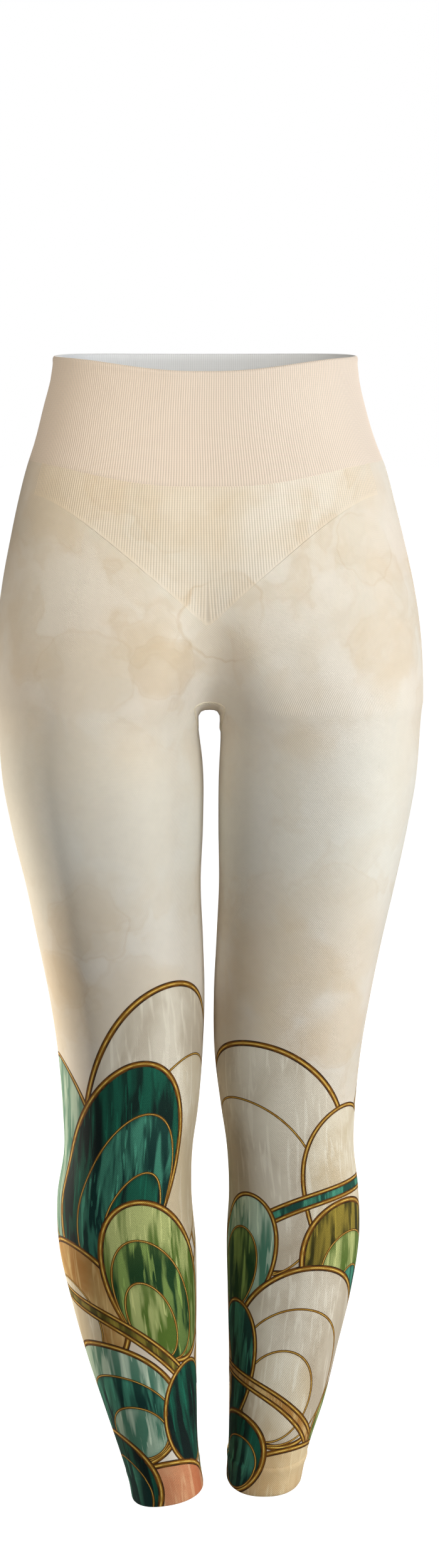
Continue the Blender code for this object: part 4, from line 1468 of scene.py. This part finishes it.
# %% Panes of the left leg
LEFT_PANES = (
    Pane(198, -752, 54, 88, -8, SAGE, "Rising"),
    Pane(193, -772, 37, 60, -8, SPRING, "Falling", lead=THIN),
    Pane(246, -790, 46, 74, 10, PEARL, "Frost"),
    Pane(188, -854, 46, 58, 6, TEAL, "Falling", 1.0),
    Pane(184, -866, 31, 40, 6, GREEN, "Falling", 1.0, lead=THIN),
    Pane(236, -874, 44, 54, -8, OLIVE, "Rising", 1.0),
    Pane(156, -928, 44, 50, 8, SAGE, "Falling"),
    Pane(204, -950, 42, 48, -6, LEAF_GREEN, "Rising"),
    Pane(160, -992, 46, 38, 0, SAND, "Frost"),
    Pane(132, -716, 64, 104, -8, PEARL, "Frost", 0.8),
    Pane(-132, -708, 60, 96, 8, SAGE, "Frost", 0.8),
    Pane(-26, -684, 84, 106, -12, PEARL, "Frost", lead=THICK),
    Pane(-40, -712, 64, 82, -12, PEARL, "Frost", band=0.0, lead=THIN),
    Pane(66, -722, 56, 84, -12, IVORY, "Frost"),
    Pane(64, -888, 178, 178, 0, TEAL, "Rising", 1.0, band=10),
    Pane(60, -790, 50, 66, -24, OLIVE, "Rising", 1.1, lead=THICK),
    Pane(64, -804, 37, 50, -24, SPRING, "Rising", 1.0, lead=THIN),
    Pane(68, -820, 22, 32, -24, TEAL, "Falling", 1.0, lead=THIN),
    Pane(130, -828, 52, 66, 0, LEAF_GREEN, "Falling"),
    Pane(-126, -822, 54, 68, 0, PEARL, "Frost"),
    Pane(-52, -778, 34, 60, 14, SAGE, "Falling", 1.0),
    Pane(-58, -792, 23, 42, 14, LEAF_GREEN, "Falling", 1.0, lead=THIN),
    Pane(12, -866, 66, 82, 10, PEARL, "Frost", 1.0, lead=THICK),
    Pane(4, -884, 50, 62, 10, PEARL, "Frost", 1.0, band=0.0, lead=THIN),
    Pane(-4, -902, 32, 41, 10, IVORY, "Frost", 1.0, lead=THIN),
    Pane(-60, -884, 32, 64, 8, TEAL, "Rising", 1.0),
    Pane(106, -906, 44, 56, 0, OCHRE, "Frost"),
    Pane(-100, -900, 42, 56, 0, IVORY, "Frost"),
    Pane(-70, -1010, 128, 128, 0, OCHRE, "Rising", band=8),
    Pane(70, -938, 30, 44, 12, SPRING, "Falling", 1.0),
    Pane(74, -946, 19, 30, 12, LEAF_GREEN, "Falling", 1.0, lead=THIN),
    Pane(-84, -972, 36, 40, 0, SAGE, "Falling"),
    Pane(22, -1000, 70, 50, 0, SAND, "Frost", lead=THICK),
    Pane(-40, -958, 34, 36, 10, GREEN, "Rising", 1.0, lead=THICK),
    Pane(-34, -966, 22, 24, 10, TEAL, "Rising", 1.0, lead=THIN),
)
print(len(LEFT_PANES), "panes on the left leg")


# %% Painting the panes
def paint_panes(tree, under, panes):
    """The colour of the cloth once all the panes are painted over it, in order."""
    place = map_of(tree, "print")
    fields = use(tree, brushwork, Print=place)
    colour = under
    for pane in panes:
        deep, light = pane.glass
        made = use(tree, pane_group, Under=colour, Place=place, Middle=(pane.across, pane.down, 0),
                   Size=(pane.wide, pane.tall, 1000), Turn=np.radians(pane.turn), Deep=deep, Light=light,
                   Strokes=fields[pane.strokes], Contrast=pane.contrast, Band=pane.band, Lead=pane.lead,
                   Glint=fields["Glint"])
        colour, place = made["Colour"], made["Place"]
    return colour


# %% [markdown]
# ## The finishes themselves
#
# A knit scatters light in all directions and has a faint bloom of fibre at its edges, so each finish is rough
# with a little sheen. The plain knit and the prints share one recipe. The ribs are dyed sand on the band,
# and on the yoke they have the same clouds as the cloth below. The inside is the cloth's undyed white side.

# %% Plain and printed knit, also for the gusset
def knit_finish(name, panes=(), pitch=LINE_PITCH, depth=0.15, **gloss):
    material, tree, _ = start_material(name)
    colour = use(tree, watercolour, Place=object_place(tree))["Colour"]
    if panes:
        colour = paint_panes(tree, colour, panes)
    lines = use(tree, knit_lines, Knit=map_of(tree, "knit"), Pitch=pitch)
    # The knit lines' painted shade darkens the colour between them.
    return complete(material, shaded(tree, colour, lines["Shade"]), lines["Height"], depth, **gloss)


# %% Ribs
COURSE_PITCH = 1.5
FIBRE_SCALE, FIBRE_DEPTH = 2600, 0.06  # the fuzz of single fibres on the ribs
BAND_COLOURS = (linear(240, 223, 206), linear(236, 217, 198))
# The yoke's grooves carry painted shade. The tint also brightens its colour to make up for it, and along the
# V the painted shade goes over to that of the plain knit's lines.
YOKE_TINT = (1.045, 1.03, 1.005, 1.0)  # makes up for the shade in its grooves
PLAIN_SHADE = (0.96, 0.96, 0.96, 1)  # that of the plain knit beside it, on average
WHITE_GLOSS = {"roughness": 0.9, "sheen": 0.1}  # of the white side


def groove_shade(tree, darkest, course):
    """Painted shade: 1 on the ribs, and darker in the grooves between them and, by course, between one row
    and the next.
    """
    across, down, _ = parts(tree, map_of(tree, "knit"))
    place = calc(tree, "FRACT", calc(tree, "DIVIDE", across, RIB_PITCH))
    off_groove = calc(tree, "SUBTRACT", 0.5, calc(tree, "ABSOLUTE", calc(tree, "SUBTRACT", place, 0.5)))
    level = parts(tree, object_place(tree))[2]
    rows = calc(tree, "SINE", calc(tree, "MULTIPLY", level, 2 * np.pi / (COURSE_PITCH * MM)))
    rows = calc(tree, "MULTIPLY_ADD", rows, course / 2, 1 - course / 2)
    shade = calc(tree, "MULTIPLY", between(tree, off_groove, 0.02, 0.3, darkest, 1.0), rows)
    return shade, down


def complete_rib(material, colour, shade, **gloss):
    tree = material.node_tree
    fibres = noise(tree, object_place(tree), FIBRE_SCALE, 1)
    return complete(material, shaded(tree, colour, shade), fibres, FIBRE_DEPTH, **gloss)


def band_finish():
    material, tree, _ = start_material("sand rib")
    # Painted shade in the band's grooves.
    shade, _ = groove_shade(tree, darkest=0.76, course=0.04)
    colour = blend(tree, noise(tree, object_place(tree), 14, 4), *BAND_COLOURS)
    return complete_rib(material, colour, shade)


def band_inside_finish():
    material, tree, _ = start_material("white side of the rib")
    # Painted shade in the grooves of the band's inside.
    shade, _ = groove_shade(tree, darkest=0.9, course=0.03)
    return complete_rib(material, linear(233, 234, 236), shade, **WHITE_GLOSS)


def yoke_finish():
    material, tree, _ = start_material("cream rib")
    # Painted shade in the yoke's grooves, faded out towards the V.
    shade, above_edge = groove_shade(tree, darkest=0.8, course=0.07)
    shade = blend(tree, between(tree, above_edge, 0.0, SHADE_END), PLAIN_SHADE, shade)
    colour = use(tree, watercolour, Place=object_place(tree))["Colour"]
    return complete_rib(material, shaded(tree, colour, YOKE_TINT), shade)


# %% The inside and the thread
INSIDE_SCALE, THREAD_SCALE = 900, 1500


def inside_finish(name, colour):
    material, tree, _ = start_material(name)
    loops = noise(tree, object_place(tree), INSIDE_SCALE, 2)
    # Painted shade: darker where the loops' relief is low.
    shade = between(tree, loops, 0.3, 0.7, 0.93, 1.0)
    return complete(material, shaded(tree, colour, shade), loops, 0.1, **WHITE_GLOSS)


def thread_finish(name, colour):
    material, tree, _ = start_material(name)
    shade = between(tree, noise(tree, object_place(tree), THREAD_SCALE, 1), 0.3, 0.7, 0.86, 1.0)
    return complete(material, shaded(tree, colour, shade), roughness=0.6, sheen=0.3)


white_side = inside_finish("white side of the knit", linear(240, 240, 240))
thread = thread_finish("sewing thread", linear(238, 226, 202))
gusset_finishes = [knit_finish("gusset knit", pitch=GUSSET_LINE_PITCH, depth=0.12), white_side]
right_print = knit_finish("right leg print", RIGHT_PANES, sheen=0.03)
left_print = knit_finish("left leg print", LEFT_PANES, sheen=0.03)
plain_finish = knit_finish("plain knit")
print("finishes:", len(bpy.data.materials))

# %% [markdown]
# ## Putting the garment together
#
# The pieces are made in the order in which they would be sewn.

waistband = make_waistband([band_finish(), band_inside_finish()])
yoke = make_yoke([yoke_finish(), white_side])
knit_finishes = [plain_finish, white_side, right_print, white_side, left_print, white_side]
knit, gusset, gusset_seam = make_knit(knit_finishes)
cuff_left = make_cuff(LEFT, "cuff_left", [left_print, white_side])
cuff_right = make_cuff(RIGHT, "cuff_right", [right_print, white_side])

# %% [markdown]
# ## Floor and light
#
# The garment hangs just over a white floor in a white room, as on a shop's page. As the camera sees it, a
# large soft box stands at the front right and another at the right side, so the form falls into soft shade
# towards the left. A third lights the back from above. Narrow beams fill in the waistband and the hip at the
# left, and one from behind picks out the edge of the leg there.

# %% Floor
FLOOR_DROP = 0.075
FLOOR_SIZE = 30.0
FLOOR_SHADE = 0.35


def make_floor():
    low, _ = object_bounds()
    sheet = bmesh.new()
    bmesh.ops.create_grid(sheet, x_segments=1, y_segments=1, size=FLOOR_SIZE / 2)
    bmesh.ops.translate(sheet, verts=sheet.verts, vec=(0, 0, low.z - FLOOR_DROP))
    mesh = bpy.data.meshes.new("floor")
    sheet.to_mesh(mesh)
    sheet.free()
    material, tree, shader = start_material("white floor")
    shader.inputs["Base Color"].default_value = (FLOOR_SHADE, FLOOR_SHADE, FLOOR_SHADE, 1)
    shader.inputs["Roughness"].default_value = 0.9
    shader.inputs["Emission Color"].default_value = (1, 1, 1, 1)
    seen = tree.nodes.new("ShaderNodeLightPath").outputs["Is Camera Ray"]
    put(tree, shader.inputs["Emission Strength"], seen)
    mesh.materials.append(material)
    add_object("floor", mesh)


make_floor()
print("floor:", round(FLOOR_DROP, 3), "m under the lower hem")

# %% Lamps
SOFT_WARM, NEUTRAL, SOFT_COOL = (1.0, 0.94, 0.82), (1.0, 1.0, 1.0), (0.94, 0.98, 1.0)

# place, width and height in metres. aim: the height on the garment's axis that it points at.
Softbox = namedtuple("Softbox", "name place aim width height watts tint")
SOFTBOXES = (
    Softbox("key", (1.8, -2.2, 0.25), -0.45, 0.9, 2.2, 55, SOFT_COOL),
    Softbox("side", (2.8, -0.2, 0.1), -0.45, 0.9, 2.2, 34, NEUTRAL),
    Softbox("back", (0.5, 2.6, 1.0), -0.1, 1.6, 1.6, 54, SOFT_WARM),
)

# A snoot is a tube over a lamp that narrows its beam. angle: that of the whole beam, in degrees. softness:
# the share of the beam over which it fades out.
SNOOT_MOUTH = 0.15  # the radius of the tube's mouth
Snoot = namedtuple("Snoot", "name place aim angle softness watts tint")
SNOOTS = (
    Snoot("waist", (-1.1, -1.5, 0.5), (-0.07, 0.0, -0.03), 17, 1.0, 76, SOFT_WARM),
    Snoot("hip", (0.6, -2.8, 0.5), (-0.12, 0.0, -0.25), 7.6, 1.0, 106, SOFT_WARM),
    Snoot("edge", (-1.92, 0.89, -0.6), (-0.09, 0.0, -0.6), 22, 0.5, 235, SOFT_WARM),
)


def add_lamp(lamp, place, aim):
    holder = add_object(lamp.name, lamp)
    aim_at(holder, place, aim)


def add_softbox(box):
    lamp = bpy.data.lights.new(box.name, "AREA")
    lamp.shape = "RECTANGLE"
    lamp.size, lamp.size_y = box.width, box.height
    lamp.energy = box.watts
    lamp.color = box.tint
    add_lamp(lamp, box.place, (0, 0, box.aim))


def add_snoot(snoot):
    lamp = bpy.data.lights.new(snoot.name, "SPOT")
    lamp.energy = snoot.watts
    lamp.shadow_soft_size = SNOOT_MOUTH
    lamp.spot_size = np.radians(snoot.angle)
    lamp.spot_blend = snoot.softness
    lamp.color = snoot.tint
    add_lamp(lamp, snoot.place, snoot.aim)


for box in SOFTBOXES:
    add_softbox(box)
for snoot in SNOOTS:
    add_snoot(snoot)
print("lamps:", ", ".join(lamp.name for lamp in SOFTBOXES + SNOOTS))

# %% White room
AMBIENT = 0.148
AMBIENT_TINT = (1.0, 0.98, 0.95, 1.0)


def make_room(ambient):
    """A world that is white to the camera, and gives a weaker even light."""
    world = bpy.data.worlds.new("white room")
    world.use_nodes = True
    tree = world.node_tree
    shown = tree.nodes["Background"]
    seen = tree.nodes.new("ShaderNodeLightPath").outputs["Is Camera Ray"]
    put(tree, shown.inputs["Color"], blend(tree, seen, AMBIENT_TINT, (1, 1, 1, 1)))
    put(tree, shown.inputs["Strength"], calc(tree, "MULTIPLY_ADD", seen, 1.0 - ambient, ambient))
    bpy.context.scene.world = world


make_room(AMBIENT)
bpy.context.scene.view_settings.view_transform = "Standard"
